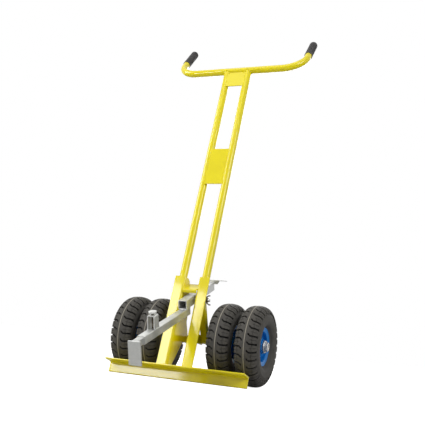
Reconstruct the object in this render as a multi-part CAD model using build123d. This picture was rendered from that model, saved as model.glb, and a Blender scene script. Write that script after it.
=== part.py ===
from build123d import *
import math
import os

os.makedirs("parts", exist_ok=True)

# A tile trolley, parked on its wheels and on the heel of its toe bar. Millimetres, +Z up,
# facing -Y, with the origin on the floor under the middle of the whole object.

# Stance
LEAN = 14.25             # the frame leans back from upright by this angle, in degrees
AXLE_Y = 59.36           # the axle line lies this far behind the middle of the object
WHEEL_RADIUS = 130.0

# Clearances
RUN_GAP = 0.05           # a shaft in its bore, on the radius
FACE_GAP = 0.3           # end faces that turn or slide past each other
WELD_GAP = 0.05          # round pieces that are welded side by side

# Axle and wheels
AXLE_RADIUS = 10.0
AXLE_HALF = 259.0
AXLE_PAST_WHEEL = 38.0   # from an outer wheel's middle to the axle's end
WHEEL_PITCH = 96.0       # between the two wheels of a side
WHEEL_X_OUTER = AXLE_HALF - AXLE_PAST_WHEEL
WHEEL_X_INNER = WHEEL_X_OUTER - WHEEL_PITCH
TYRE_HALF_WIDTH = 39.0
CROWN_WALL = 11.0
SIDE_WALL = 5.0
BEAD_INNER = 11.0        # the beads stand this far either side of the tyre's middle
RIM_RADIUS = 62.0        # top of the rim's flange
RIM_SEAT_RADIUS = 50.0
RIM_HALF_WIDTH = 22.0
RIM_WALL = 2.5
RIM_CUT = 0.05           # half of the slit between the two rim halves
HUB_RADIUS = 20.5
HUB_HALF = 31.0
TREAD_GROOVES = 31       # on each side of the crown
TREAD_TURN = {           # how far each wheel is turned, in degrees
    "left_inner": 4.0,
    "left_outer": 7.0,
    "right_inner": 9.5,
    "right_outer": 4.6,
}
GROOVE_WIDTH = 5.0
GROOVE_DEPTH = 5.5
GROOVE_FALL = 18.0       # the grooves' floors fall to the shoulders at this angle, in degrees
COLLAR_RADIUS = 16.0
COLLAR_WIDTH = 12.0
SPACER_RADIUS = 14.0
WASHER_RADIUS = 17.0
WASHER_THICK = 2.5
AXLE_NUT_ACROSS = 27.0
AXLE_NUT_THICK = 5.5

# Frame, measured from the axle: y runs backward, square to the frame, and z up along it
TUBE_Y = -100.0          # plane of the handle tubes' axes
TUBE_X = 41.5
TUBE_RADIUS = 13.45
TUBE_WALL = 2.0
TUBE_FOOT_Z = 140.0
SHELF_Z = -119.0         # upper face of the toe bar's shelf
TOE_HALF = 242.0
TOE_WALL = 5.0
SHELF_FRONT_Y = -132.0
SHELF_BACK_Y = -86.0
FLANGE_FACE_Y = -118.0   # front faces of the uprights
FLANGE_WALL = 4.5
FLANGE_OUTER_X = 62.5
CHEEK_X = 24.5           # inner faces of the cheeks
CHEEK_WALL = 3.5
RETURN_BACK_Y = -103.0   # the upright's folded side ends here and the cheek goes on
UPRIGHT_TOP_Z = 183.0
FOLD_RADIUS = 10.0
EYE_RADIUS = 12.5

# Top plate, sloping up to the rear from its front lip
TOP_PLATE_Z = 125.0
TOP_PLATE_SLOPE = 37.3
TOP_PLATE_LENGTH = 61.0
TOP_PLATE_LIP = 11.0
TOP_PLATE_WALL = 4.0

# Pivot and struts
PIVOT_Y = -91.0
PIVOT_Z = 113.0
BOLT_RADIUS = 5.0
BOLT_HEAD_ACROSS = 16.0
BOLT_HEAD_THICK = 6.4
BOLT_END_X = 67.0
BOLT_WASHER_RADIUS = 10.5
BOLT_WASHER_THICK = 2.0
BUSH_RADIUS = 9.0
STRUT_SIZE = 22.0
STRUT_WALL = 2.5
STRUT_PAST_PIVOT = 14.0
WING_TURN = 29.0         # the wings stand upright when the frame is tipped back to roll
WING_BOSS_RADIUS = 8.5
WING_BOSS_LENGTH = 9.0
WING_REACH = 17.0
WING_SPREAD = 17.0
WING_THICK = 3.5

# Handlebar and plates between the handle tubes
BAR_Z = 1048.0
BAR_RISE = 63.0          # the ends rise at this angle from the frame's normal
BAR_BEND = 84.0
BAR_HALF = 258.0
BAR_END = 201.0
GRIP_START = 98.0
GRIP_LENGTH = 107.0
GRIP_RADIUS = 15.6
GRIP_RIB_DEPTH = 0.9
GRIP_RIBS = 12
PLATE_WALL = 4.0
PLATE_INSET = 0.95       # the plates' faces lie this far behind the tubes' front
MID_PLATE_LOW_Z = 540.5
MID_PLATE_HIGH_Z = 686.0
GUSSET_HEIGHT = 63.5
GUSSET_DROP = 1.5        # from the handlebar's underside to the gusset's top

# Rocker, measured from the pivot: y runs backward along its tube and z square to it
ROCKER_DIP = 35.75       # slope of the rocker tube against the frame's normal, low at the front
ROCKER_SIZE = 30.0
ROCKER_WALL = 3.0
ROCKER_FRONT_Y = -70.0
ROCKER_BACK_Y = 167.0
SLEEVE_RADIUS = 8.0
RIB_LOW_Z = 7.7
RIB_HIGH_Z = 20.0
RIB_WALL = 4.0
RIB_HALF_LOW = 27.0
RIB_HALF_HIGH = 36.0
PEDAL_TILT = 16.0        # the foot plate falls to the rear against the rocker tube
PEDAL_DEPTH = 48.0
PEDAL_HALF = 50.0        # at the rear; the front is as wide as the rib
PEDAL_WALL = 3.0

# Arm, measured from the rocker tube's lower front edge: y runs backward along its upper face
ARM_CANT = 1.5           # the arm rises to the front against the rocker tube
ARM_SIZE = 25.0
ARM_WALL = 2.0
ARM_FRONT_Y = -283.0
ARM_BACK_Y = 32.0
INNER_BACK_Y = -100.0
INNER_WALL = 2.0
CLAMP_FACE_Y = -324.0
CLAMP_WALL = 6.0
CLAMP_WIDTH = 40.0
CLAMP_HEIGHT = 71.0
BRIDGE_Y = -206.0
BRIDGE_BASE = 30.0
BRIDGE_TOP = 26.0
BRIDGE_HALF = 12.0
BRIDGE_HEIGHT = 41.0
BRIDGE_WALL = 3.0
SCREW_RADIUS = 4.5
DISC_RADIUS = 12.5
DISC_THICK = 6.0
DISC_LIFT = 5.0

# Places: the leaning frame, the rocker on it, and the arm on the rocker
FRAME = Pos(0, AXLE_Y, WHEEL_RADIUS) * Rot(-LEAN, 0, 0)
ROCKER = FRAME * Pos(0, PIVOT_Y, PIVOT_Z) * Rot(ROCKER_DIP, 0, 0)
ARM = ROCKER * Pos(0, ROCKER_FRONT_Y, -ROCKER_SIZE / 2) * Rot(-ARM_CANT, 0, 0)


def block(x0, x1, y0, y1, z0, z1):
    """A box between two corners."""
    return Pos((x0 + x1) / 2, (y0 + y1) / 2, (z0 + z1) / 2) * Box(x1 - x0, y1 - y0, z1 - z0)


def rod_x(radius, x0, x1, y=0.0, z=0.0):
    """A round bar along X."""
    return Pos((x0 + x1) / 2, y, z) * Rot(0, 90, 0) * Cylinder(radius, x1 - x0)


def ring_x(outer, inner, x0, x1, y=0.0, z=0.0):
    """A round tube along X."""
    return rod_x(outer, x0, x1, y, z) - rod_x(inner, x0 - 1, x1 + 1, y, z)


def plate_x(points, x0, x1):
    """A flat plate with its outline in the YZ plane, from x0 to x1."""
    outline = make_face(Polyline(*points, close=True))
    return extrude(Plane.YZ.offset(x0) * outline, amount=x1 - x0)


def square_tube(size, wall, y0, y1):
    """A square tube along Y, centred on the axis."""
    half = size / 2
    hole = half - wall
    return block(-half, half, y0, y1, -half, half) - block(-hole, hole, y0 - 1, y1 + 1, -hole, hole)


def turned(points):
    """A solid of revolution about X from points given as (x, radius)."""
    return revolve(make_face(Polyline(*points, close=True)), axis=Axis.X)


def hexagon_x(across, x0, x1):
    """A hexagon bar along X, by its width across flats."""
    outline = RegularPolygon(across / 2, 6, major_radius=False)
    return extrude(Plane.YZ.offset(x0) * outline, amount=x1 - x0)


def save(name, shape):
    """Writes one piece to its file."""
    export_step(shape, f"parts/{name}.step")


def save_pair(name, shape, place):
    """Writes a piece of the right side and its mirror image on the left side."""
    save(f"right_{name}", place * shape)
    save(f"left_{name}", place * mirror(shape, Plane.YZ))


def make_toe_bar():
    """The angle across the front, long enough to stand on the floor with its heel."""
    lean = math.radians(LEAN)
    heel_z = (SHELF_BACK_Y * math.sin(lean) - WHEEL_RADIUS) / math.cos(lean)
    step_y = SHELF_BACK_Y - TOE_WALL
    step_z = SHELF_Z - TOE_WALL
    points = [
        (SHELF_BACK_Y, heel_z),
        (SHELF_BACK_Y, SHELF_Z),
        (SHELF_FRONT_Y, SHELF_Z),
        (SHELF_FRONT_Y, step_z),
        (step_y, step_z),
        (step_y, heel_z),
    ]
    bar = plate_x(points, -TOE_HALF, TOE_HALF)
    long_edges = bar.edges().filter_by(Axis.X)
    root = long_edges.sort_by_distance((0, step_y, step_z))[0]
    bar = fillet(root, 5.0)
    long_edges = bar.edges().filter_by(Axis.X)
    tips = [
        long_edges.sort_by_distance((0, SHELF_FRONT_Y, step_z))[0],
        long_edges.sort_by_distance((0, step_y, heel_z))[0],
    ]
    return fillet(tips, 2.0)


def make_upright():
    """The right-hand upright: a broad front face folded back along its inner edge."""
    points = [
        (CHEEK_X, FLANGE_FACE_Y),
        (FLANGE_OUTER_X, FLANGE_FACE_Y),
        (FLANGE_OUTER_X, FLANGE_FACE_Y + FLANGE_WALL),
        (CHEEK_X + CHEEK_WALL, FLANGE_FACE_Y + FLANGE_WALL),
        (CHEEK_X + CHEEK_WALL, RETURN_BACK_Y),
        (CHEEK_X, RETURN_BACK_Y),
    ]
    outline = make_face(Polyline(*points, close=True))
    corners = outline.vertices()
    outline = fillet(corners.sort_by_distance((CHEEK_X, FLANGE_FACE_Y, 0))[0], FOLD_RADIUS)
    hollow = (CHEEK_X + CHEEK_WALL, FLANGE_FACE_Y + FLANGE_WALL, 0)
    outline = fillet(outline.vertices().sort_by_distance(hollow)[0], FOLD_RADIUS - FLANGE_WALL)
    return extrude(Pos(0, 0, SHELF_Z) * outline, amount=UPRIGHT_TOP_Z - SHELF_Z)


def make_cheek():
    """The right-hand cheek: a side plate with a chamfered top and an eye on the axle."""
    points = [
        (RETURN_BACK_Y, UPRIGHT_TOP_Z),
        (-92.0, UPRIGHT_TOP_Z),
        (-79.0, 178.0),
        (-68.0, 163.0),
        (-40.0, 75.0),
        (-31.0, 14.0),
        (0.0, EYE_RADIUS),
        (0.0, -EYE_RADIUS),
        (-36.0, -19.0),
        (-79.0, -102.0),
        (SHELF_BACK_Y, SHELF_Z),
        (RETURN_BACK_Y, SHELF_Z),
    ]
    x1 = CHEEK_X + CHEEK_WALL
    plate = plate_x(points, CHEEK_X, x1) + rod_x(EYE_RADIUS, CHEEK_X, x1)
    plate -= rod_x(AXLE_RADIUS + WELD_GAP, CHEEK_X - 1, x1 + 1)
    return plate - rod_x(BOLT_RADIUS + RUN_GAP, CHEEK_X - 1, x1 + 1, PIVOT_Y, PIVOT_Z)


def make_top_plate():
    """The folded cover between the cheeks, flush with the uprights at its lip."""
    points = [
        (0.0, 0.0),
        (0.0, TOP_PLATE_LIP),
        (TOP_PLATE_LENGTH, TOP_PLATE_LIP),
        (TOP_PLATE_LENGTH, TOP_PLATE_LIP - TOP_PLATE_WALL),
        (TOP_PLATE_WALL, TOP_PLATE_LIP - TOP_PLATE_WALL),
        (TOP_PLATE_WALL, 0.0),
    ]
    plate = plate_x(points, -CHEEK_X, CHEEK_X)
    fold = plate.edges().filter_by(Axis.X).sort_by_distance((0, 0, TOP_PLATE_LIP))[0]
    plate = fillet(fold, TOP_PLATE_WALL)
    return Pos(0, FLANGE_FACE_Y, TOP_PLATE_Z) * Rot(TOP_PLATE_SLOPE, 0, 0) * plate


def make_strut():
    """The right-hand strut: a square tube that sits astride the axle and meets the pivot."""
    length = math.hypot(PIVOT_Y, PIVOT_Z)
    tilt = math.degrees(math.atan2(-PIVOT_Y, PIVOT_Z))
    half = STRUT_SIZE / 2
    hole = half - STRUT_WALL
    top = length + STRUT_PAST_PIVOT
    tube = block(-half, half, -half, half, 1.0, top)
    tube -= block(-hole, hole, -hole, hole, 0.0, top + 1)
    x0 = CHEEK_X + CHEEK_WALL
    x1 = x0 + STRUT_SIZE
    tube = Pos(x0 + half, 0, 0) * Rot(tilt, 0, 0) * tube
    tube -= rod_x(AXLE_RADIUS + WELD_GAP, x0 - 1, x1 + 1)
    return tube - rod_x(BOLT_RADIUS + RUN_GAP, x0 - 1, x1 + 1, PIVOT_Y, PIVOT_Z)


def make_handle_tube():
    """The right-hand handle tube, its top hollowed to fit under the handlebar."""
    length = BAR_Z - TUBE_FOOT_Z
    middle = Pos(TUBE_X, TUBE_Y, (BAR_Z + TUBE_FOOT_Z) / 2)
    tube = middle * (Cylinder(TUBE_RADIUS, length) - Cylinder(TUBE_RADIUS - TUBE_WALL, length + 2))
    x0 = TUBE_X - TUBE_RADIUS - 1
    x1 = TUBE_X + TUBE_RADIUS + 1
    return tube - rod_x(TUBE_RADIUS + WELD_GAP, x0, x1, TUBE_Y, BAR_Z)


def make_handlebar():
    """The bent tube, drawn flat and then raised to the slope of its ends."""
    points = [(-BAR_HALF, BAR_END), (-BAR_HALF, 0), (BAR_HALF, 0), (BAR_HALF, BAR_END)]
    path = FilletPolyline(*points, radius=BAR_BEND)
    start = Plane(path @ 0, z_dir=path % 0)
    outer = sweep(start * Circle(TUBE_RADIUS), path=path)
    inner = sweep(start * Circle(TUBE_RADIUS - TUBE_WALL), path=path)
    return outer - inner


def make_grip():
    """A sleeve with ring ribs and a rounded closed end, along Z from its open end."""
    bore = TUBE_RADIUS + WELD_GAP
    valley = GRIP_RADIUS - GRIP_RIB_DEPTH
    collar = 6.0
    dome = 12.0
    pitch = (GRIP_LENGTH - collar - dome) / GRIP_RIBS
    points = [(bore, 0.0), (GRIP_RADIUS, 0.0), (GRIP_RADIUS, collar)]
    for rib in range(GRIP_RIBS):
        z = collar + rib * pitch
        points += [(valley, z + 0.2 * pitch), (valley, z + 0.5 * pitch)]
        points += [(GRIP_RADIUS, z + 0.7 * pitch), (GRIP_RADIUS, z + pitch)]
    points += [
        (GRIP_RADIUS, GRIP_LENGTH - 7.0),
        (GRIP_RADIUS - 1.6, GRIP_LENGTH - 3.0),
        (GRIP_RADIUS - 5.0, GRIP_LENGTH),
        (0.0, GRIP_LENGTH),
        (0.0, BAR_END - GRIP_START + WELD_GAP),
        (bore, BAR_END - GRIP_START + WELD_GAP),
    ]
    outline = make_face(Polyline(*points, close=True))
    return revolve(Plane.XZ * outline, axis=Axis.Z)


def make_web(low_z, high_z):
    """A flat plate that lies in the front hollow between the two handle tubes."""
    y0 = TUBE_Y - TUBE_RADIUS + PLATE_INSET
    web = block(-TUBE_X, TUBE_X, y0, y0 + PLATE_WALL, low_z, high_z)
    middle = (low_z + high_z) / 2
    for side in (-1, 1):
        clear = Cylinder(TUBE_RADIUS + WELD_GAP, high_z - low_z + 2)
        web -= Pos(side * TUBE_X, TUBE_Y, middle) * clear
    return web


def make_tyre():
    """A hollow tyre with cross grooves that alternate on the two sides of its crown."""
    seat = RIM_SEAT_RADIUS + WELD_GAP
    bead = RIM_HALF_WIDTH - WELD_GAP
    wide = TYRE_HALF_WIDTH
    crown = Spline(
        (bead, RIM_RADIUS + 0.5),
        (wide - 4.0, 75.0),
        (wide, 94.0),
        (wide - 1.0, 108.0),
        (wide - 4.1, 116.0),
        (wide - 9.1, 122.0),
        (14.0, 129.0),
        (0.0, WHEEL_RADIUS),
        tangents=[(0.9, 0.43), (-1.0, 0.0)],
    )
    hollow = Spline(
        (0.0, WHEEL_RADIUS - CROWN_WALL),
        (wide - 12.0, 112.0),
        (wide - SIDE_WALL, 93.0),
        (wide - 9.0, 77.0),
        (BEAD_INNER, RIM_RADIUS - 4.0),
        tangents=[(1.0, 0.0), (-0.8, -0.6)],
    )
    bead_ring = Polyline(
        (BEAD_INNER, RIM_RADIUS - 4.0),
        (BEAD_INNER, seat),
        (bead - RIM_WALL, seat),
        (bead, RIM_RADIUS),
        (bead, RIM_RADIUS + 0.5),
    )
    middle = Line((0.0, WHEEL_RADIUS), (0.0, WHEEL_RADIUS - CROWN_WALL))
    tyre = revolve(make_face(crown + middle + hollow + bead_ring), axis=Axis.X)
    cutter = block(8.0, 60.0, -GROOVE_WIDTH / 2, GROOVE_WIDTH / 2, 0.0, 30.0)
    cutter = Pos(0, 0, WHEEL_RADIUS - GROOVE_DEPTH + 1.5) * Rot(0, GROOVE_FALL, 0) * cutter
    pitch = 360.0 / TREAD_GROOVES
    right = tyre - [Rot(pitch * k, 0, 0) * cutter for k in range(TREAD_GROOVES)]
    left = mirror(right, Plane.YZ)
    return right + Rot(pitch / 2, 0, 0) * left


def make_rim_half():
    """The pressed dish on the +X side of the wheel's middle, its floor rising to the hub."""
    inside = RIM_SEAT_RADIUS - RIM_WALL
    collar = HUB_RADIUS + WELD_GAP
    points = [
        (RIM_CUT, inside - 0.5),
        (RIM_CUT, RIM_SEAT_RADIUS),
        (RIM_HALF_WIDTH - RIM_WALL, RIM_SEAT_RADIUS),
        (RIM_HALF_WIDTH, RIM_RADIUS),
        (RIM_HALF_WIDTH + 2.2, RIM_RADIUS),
        (RIM_HALF_WIDTH - 0.4, inside),
        (9.0, inside),
        (6.0, inside - 1.2),
        (5.0, inside - 4.0),
        (17.0, collar + 5.0),
        (20.0, collar + 2.5),
        (24.0, collar + 2.5),
        (24.0, collar),
        (18.5, collar),
        (14.5, collar + 4.0),
        (2.0, inside - 4.0),
    ]
    return turned(points)


def make_hub():
    """The sleeve that turns on the axle, with a chamfer at both ends."""
    bore = AXLE_RADIUS + RUN_GAP
    points = [
        (-HUB_HALF, bore),
        (-HUB_HALF, HUB_RADIUS - 1.5),
        (-HUB_HALF + 1.5, HUB_RADIUS),
        (HUB_HALF - 1.5, HUB_RADIUS),
        (HUB_HALF, HUB_RADIUS - 1.5),
        (HUB_HALF, bore),
    ]
    return turned(points)


def make_wing_nut():
    """The nut's boss with two wings that spread away from the frame."""
    x0 = CHEEK_X + CHEEK_WALL + STRUT_SIZE + BOLT_WASHER_THICK + FACE_GAP
    x1 = x0 + WING_BOSS_LENGTH
    boss = turned([
        (x0, BOLT_RADIUS + RUN_GAP),
        (x0, WING_BOSS_RADIUS),
        (x1, WING_BOSS_RADIUS - 1.5),
        (x1, BOLT_RADIUS + RUN_GAP),
    ])
    outline = [
        (x0 + 1.0, 6.5),
        (x0 + 3.5, WING_REACH - 5.0),
        (x0 + WING_SPREAD - 6.0, WING_REACH),
        (x0 + WING_SPREAD, WING_REACH),
        (x0 + WING_SPREAD, WING_REACH - 4.5),
        (x0 + WING_SPREAD - 6.0, WING_REACH - 7.0),
        (x1 - 0.5, 6.5),
    ]
    face = Plane.XZ.offset(-WING_THICK / 2) * make_face(Polyline(*outline, close=True))
    wing = extrude(face, amount=WING_THICK)
    nut = boss + wing + mirror(wing, Plane.XY)
    return Pos(0, PIVOT_Y, PIVOT_Z) * Rot(WING_TURN, 0, 0) * nut


def make_pivot_bolt():
    """The bolt through both struts, both cheeks and the rocker, with its head on the left."""
    seat = CHEEK_X + CHEEK_WALL + STRUT_SIZE + BOLT_WASHER_THICK
    shank = chamfer(rod_x(BOLT_RADIUS, -seat - 1.0, BOLT_END_X).edges().sort_by(Axis.X)[-1], 1.0)
    head = hexagon_x(BOLT_HEAD_ACROSS, -seat - BOLT_HEAD_THICK, -seat)
    return Pos(0, PIVOT_Y, PIVOT_Z) * (shank + head)


def make_rocker_tube():
    """The square tube on the pivot, cross-bored for its sleeve."""
    tube = square_tube(ROCKER_SIZE, ROCKER_WALL, ROCKER_FRONT_Y, ROCKER_BACK_Y)
    return tube - rod_x(SLEEVE_RADIUS + WELD_GAP, -50, 50)


def make_arm_tube():
    """The square tube under the rocker tube, with a hole for the lock screw."""
    tube = Pos(0, 0, -ARM_SIZE / 2) * square_tube(ARM_SIZE, ARM_WALL, ARM_FRONT_Y, ARM_BACK_Y)
    return tube - Pos(0, BRIDGE_Y, 0) * Cylinder(SCREW_RADIUS + RUN_GAP, 10)


def make_inner_arm():
    """The square tube that slides in the arm tube."""
    size = ARM_SIZE - 2 * ARM_WALL - 2 * FACE_GAP
    tube = square_tube(size, INNER_WALL, CLAMP_FACE_Y + CLAMP_WALL, INNER_BACK_Y)
    return Pos(0, 0, -ARM_SIZE / 2) * tube


def make_clamp_plate():
    """The plate that bears on the tile, its top level with the inner arm's."""
    top = -ARM_WALL - FACE_GAP
    half = CLAMP_WIDTH / 2
    plate = block(-half, half, CLAMP_FACE_Y, CLAMP_FACE_Y + CLAMP_WALL, top - CLAMP_HEIGHT, top)
    return chamfer(plate.edges(), 0.6)


def make_pedal_rib():
    """The cross rib on the rocker tube's rear end, which carries the front of the foot plate."""
    points = [
        (-RIB_HALF_LOW, RIB_LOW_Z),
        (RIB_HALF_LOW, RIB_LOW_Z),
        (RIB_HALF_HIGH, RIB_HIGH_Z),
        (-RIB_HALF_HIGH, RIB_HIGH_Z),
    ]
    rear = Plane.XZ.offset(-ROCKER_BACK_Y - RIB_WALL)
    rib = extrude(rear * make_face(Polyline(*points, close=True)), amount=RIB_WALL)
    return rib - place_pedal(block(-PEDAL_HALF, PEDAL_HALF, -PEDAL_DEPTH, PEDAL_DEPTH, 0, RIB_HIGH_Z))


def place_pedal(shape):
    """Puts a piece on the sloping seat of the foot plate, which starts at the rib's front."""
    return Pos(0, ROCKER_BACK_Y, RIB_HIGH_Z) * Rot(-PEDAL_TILT, 0, 0) * shape


def make_foot_plate():
    """The pedal: a flat plate that widens to its rounded rear corners."""
    points = [
        (-RIB_HALF_HIGH, 0),
        (RIB_HALF_HIGH, 0),
        (PEDAL_HALF, PEDAL_DEPTH),
        (-PEDAL_HALF, PEDAL_DEPTH),
    ]
    plate = extrude(make_face(Polyline(*points, close=True)), amount=PEDAL_WALL)
    rear = plate.edges().filter_by(Axis.Z).group_by(Axis.Y)[-1]
    return place_pedal(fillet(rear, 6.0))


def make_screw_bridge():
    """The inverted U that carries the lock screw."""
    high = BRIDGE_HEIGHT
    points = [
        (BRIDGE_Y - BRIDGE_BASE / 2, 0),
        (BRIDGE_Y - BRIDGE_TOP / 2, high),
        (BRIDGE_Y + BRIDGE_TOP / 2, high),
        (BRIDGE_Y + BRIDGE_BASE / 2, 0),
    ]
    bridge = plate_x(points, -BRIDGE_HALF, BRIDGE_HALF)
    folds = bridge.edges().filter_by(Axis.Y).group_by(Axis.Z)[-1]
    bridge = fillet(folds, BRIDGE_WALL)
    inside = BRIDGE_HALF - BRIDGE_WALL
    bridge -= block(-inside, inside, BRIDGE_Y - 30, BRIDGE_Y + 30, -1, high - BRIDGE_WALL)
    return bridge - Pos(0, BRIDGE_Y, high) * Cylinder(SCREW_RADIUS + RUN_GAP, 20)


def make_lock_screw():
    """The screw's stem, its tip just above the inner arm."""
    top = BRIDGE_HEIGHT + DISC_LIFT
    stem = Pos(0, BRIDGE_Y, (top - ARM_WALL) / 2) * Cylinder(SCREW_RADIUS, top + ARM_WALL)
    return chamfer(stem.edges().sort_by(Axis.Z)[0], 0.8)


def make_lock_disc():
    """The round head that turns the lock screw."""
    low = BRIDGE_HEIGHT + DISC_LIFT
    disc = Pos(0, BRIDGE_Y, low + DISC_THICK / 2) * Cylinder(DISC_RADIUS, DISC_THICK)
    return fillet(disc.edges(), 1.5)


# Frame
save("toe_bar", FRAME * make_toe_bar())
save_pair("upright", make_upright(), FRAME)
save_pair("cheek", make_cheek(), FRAME)
save("top_plate", FRAME * make_top_plate())
save_pair("strut", make_strut(), FRAME)
axle = chamfer(rod_x(AXLE_RADIUS, -AXLE_HALF, AXLE_HALF).edges(), 1.0)
save("axle", FRAME * axle)

# Handle
save_pair("handle_tube", make_handle_tube(), FRAME)
BAR = FRAME * Pos(0, TUBE_Y, BAR_Z) * Rot(BAR_RISE, 0, 0)
save("handlebar", BAR * make_handlebar())
grip = Pos(BAR_HALF, GRIP_START, 0) * Rot(-90, 0, 0) * make_grip()
save_pair("grip", grip, BAR)
save("mid_plate", FRAME * make_web(MID_PLATE_LOW_Z, MID_PLATE_HIGH_Z))
gusset_top_z = BAR_Z - TUBE_RADIUS - GUSSET_DROP
save("top_gusset", FRAME * make_web(gusset_top_z - GUSSET_HEIGHT, gusset_top_z))

# Pivot hardware
save("pivot_bolt", FRAME * make_pivot_bolt())
AT_PIVOT = FRAME * Pos(0, PIVOT_Y, PIVOT_Z)
bush = ring_x(BUSH_RADIUS, BOLT_RADIUS + RUN_GAP, ROCKER_SIZE / 2 + FACE_GAP, CHEEK_X)
save_pair("pivot_bush", bush, AT_PIVOT)
washer_x = CHEEK_X + CHEEK_WALL + STRUT_SIZE
washer = ring_x(BOLT_WASHER_RADIUS, BOLT_RADIUS + RUN_GAP, washer_x, washer_x + BOLT_WASHER_THICK)
save_pair("pivot_washer", washer, AT_PIVOT)
save("wing_nut", FRAME * make_wing_nut())

# Axle hardware
ON_AXLE = Pos(0, AXLE_Y, WHEEL_RADIUS)
bore = AXLE_RADIUS + WELD_GAP
collar_end = WHEEL_X_INNER - HUB_HALF - FACE_GAP
save_pair("axle_collar", ring_x(COLLAR_RADIUS, bore, collar_end - COLLAR_WIDTH, collar_end), ON_AXLE)
spacer_start = WHEEL_X_INNER + HUB_HALF + FACE_GAP
spacer_end = WHEEL_X_OUTER - HUB_HALF - FACE_GAP
save_pair("wheel_spacer", ring_x(SPACER_RADIUS, bore, spacer_start, spacer_end), ON_AXLE)
cap_start = WHEEL_X_OUTER + HUB_HALF + FACE_GAP
cap_end = cap_start + WASHER_THICK
save_pair("axle_washer", ring_x(WASHER_RADIUS, bore, cap_start, cap_end), ON_AXLE)
nut_end = cap_end + AXLE_NUT_THICK
nut = hexagon_x(AXLE_NUT_ACROSS, cap_end, nut_end) - rod_x(bore, cap_end - 1, nut_end + 1)
save_pair("axle_nut", nut, ON_AXLE)

# Wheels
tyre = make_tyre()
rim_half = make_rim_half()
hub = make_hub()
for side, sign in (("left", -1), ("right", 1)):
    for row, offset in (("inner", WHEEL_X_INNER), ("outer", WHEEL_X_OUTER)):
        place = Pos(sign * offset, AXLE_Y, WHEEL_RADIUS)
        name = f"{side}_{row}"
        save(f"{name}_tyre", place * Rot(TREAD_TURN[name], 0, 0) * tyre)
        save(f"{name}_rim_right", place * rim_half)
        save(f"{name}_rim_left", place * mirror(rim_half, Plane.YZ))
        save(f"{name}_hub", place * hub)

# Rocker
save("rocker_tube", ROCKER * make_rocker_tube())
sleeve = ring_x(SLEEVE_RADIUS, BOLT_RADIUS + RUN_GAP, -ROCKER_SIZE / 2, ROCKER_SIZE / 2)
save("pivot_sleeve", ROCKER * sleeve)
save("arm_tube", ARM * make_arm_tube())
save("pedal_rib", ROCKER * make_pedal_rib())
save("foot_plate", ROCKER * make_foot_plate())
save("screw_bridge", ARM * make_screw_bridge())

# Clamp and lock screw
save("inner_arm", ARM * make_inner_arm())
save("clamp_plate", ARM * make_clamp_plate())
save("lock_screw", ARM * make_lock_screw())
save("lock_disc", ARM * make_lock_disc())
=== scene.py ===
"""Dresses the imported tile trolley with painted, galvanised and rubber surfaces.

Shapes are worked out in millimetres, in the frames that the drawing uses, and are written
to their meshes in metres.
"""

import logging
import math
from dataclasses import dataclass, field
from enum import Enum
from typing import Any, Iterable, Mapping, Sequence

import bpy
import numpy as np
from mathutils import Matrix


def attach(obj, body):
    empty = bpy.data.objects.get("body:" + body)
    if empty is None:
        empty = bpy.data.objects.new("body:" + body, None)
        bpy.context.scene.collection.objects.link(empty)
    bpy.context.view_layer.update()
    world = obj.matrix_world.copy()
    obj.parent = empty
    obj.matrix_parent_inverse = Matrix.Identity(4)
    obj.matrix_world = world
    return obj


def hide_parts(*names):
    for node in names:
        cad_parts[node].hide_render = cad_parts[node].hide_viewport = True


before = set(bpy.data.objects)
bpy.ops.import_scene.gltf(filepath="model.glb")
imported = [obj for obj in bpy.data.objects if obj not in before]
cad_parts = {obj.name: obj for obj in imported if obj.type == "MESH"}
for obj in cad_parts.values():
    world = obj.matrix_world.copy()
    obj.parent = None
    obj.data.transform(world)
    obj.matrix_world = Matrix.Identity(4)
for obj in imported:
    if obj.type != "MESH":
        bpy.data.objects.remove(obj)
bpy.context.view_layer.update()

METRES = 0.001
FULL_TURN = 2 * math.pi
# Points round a turned solid, and pieces in the round of a rim.
ROUND_STEPS = 48
RIM_STEPS = 3
# The angle between two faces, in degrees, from which their edge is shaded sharp.
SHARP_ANGLE = 38.0
# Radius at which a turned solid's end is closed with one face.
HEART = 0.3
# The largest share of an edge that the round of one corner may take.
EDGE_SHARE = 0.48
TINY = 1e-9
# Threads: the pitch, points round, rows in a pitch, and the length of the tapered tip.
THREAD_PITCH = 1.5
THREAD_STEPS = 28
THREAD_ROWS = 10
THREAD_TAPER = 1.2
# Welds: the usual radius, the spacing of ripples and of rows, and points round a bead.
WELD_RADIUS = 1.7
WELD_PITCH = 2.6
WELD_ROW = 0.65
WELD_STEPS = 10
Array = np.ndarray
Point2 = tuple[float, float]
Point3 = tuple[float, float, float]
Colour = tuple[float, float, float]
log = logging.getLogger("tile_trolley")


class Along(Enum):
    """The axis that an outline is carried along or turned about, as an order of (u, v, w)."""

    X = (2, 0, 1)
    Y = (1, 2, 0)
    Z = (0, 1, 2)


class Coat(Enum):
    """The finishes of the trolley, by their slot in the record."""

    YELLOW = "yellow_paint"
    BLUE = "blue_paint"
    ZINC = "zinc"
    STEEL = "steel"
    DARK = "dark_steel"
    TYRE = "tyre"
    GRIP = "grip"


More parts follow.
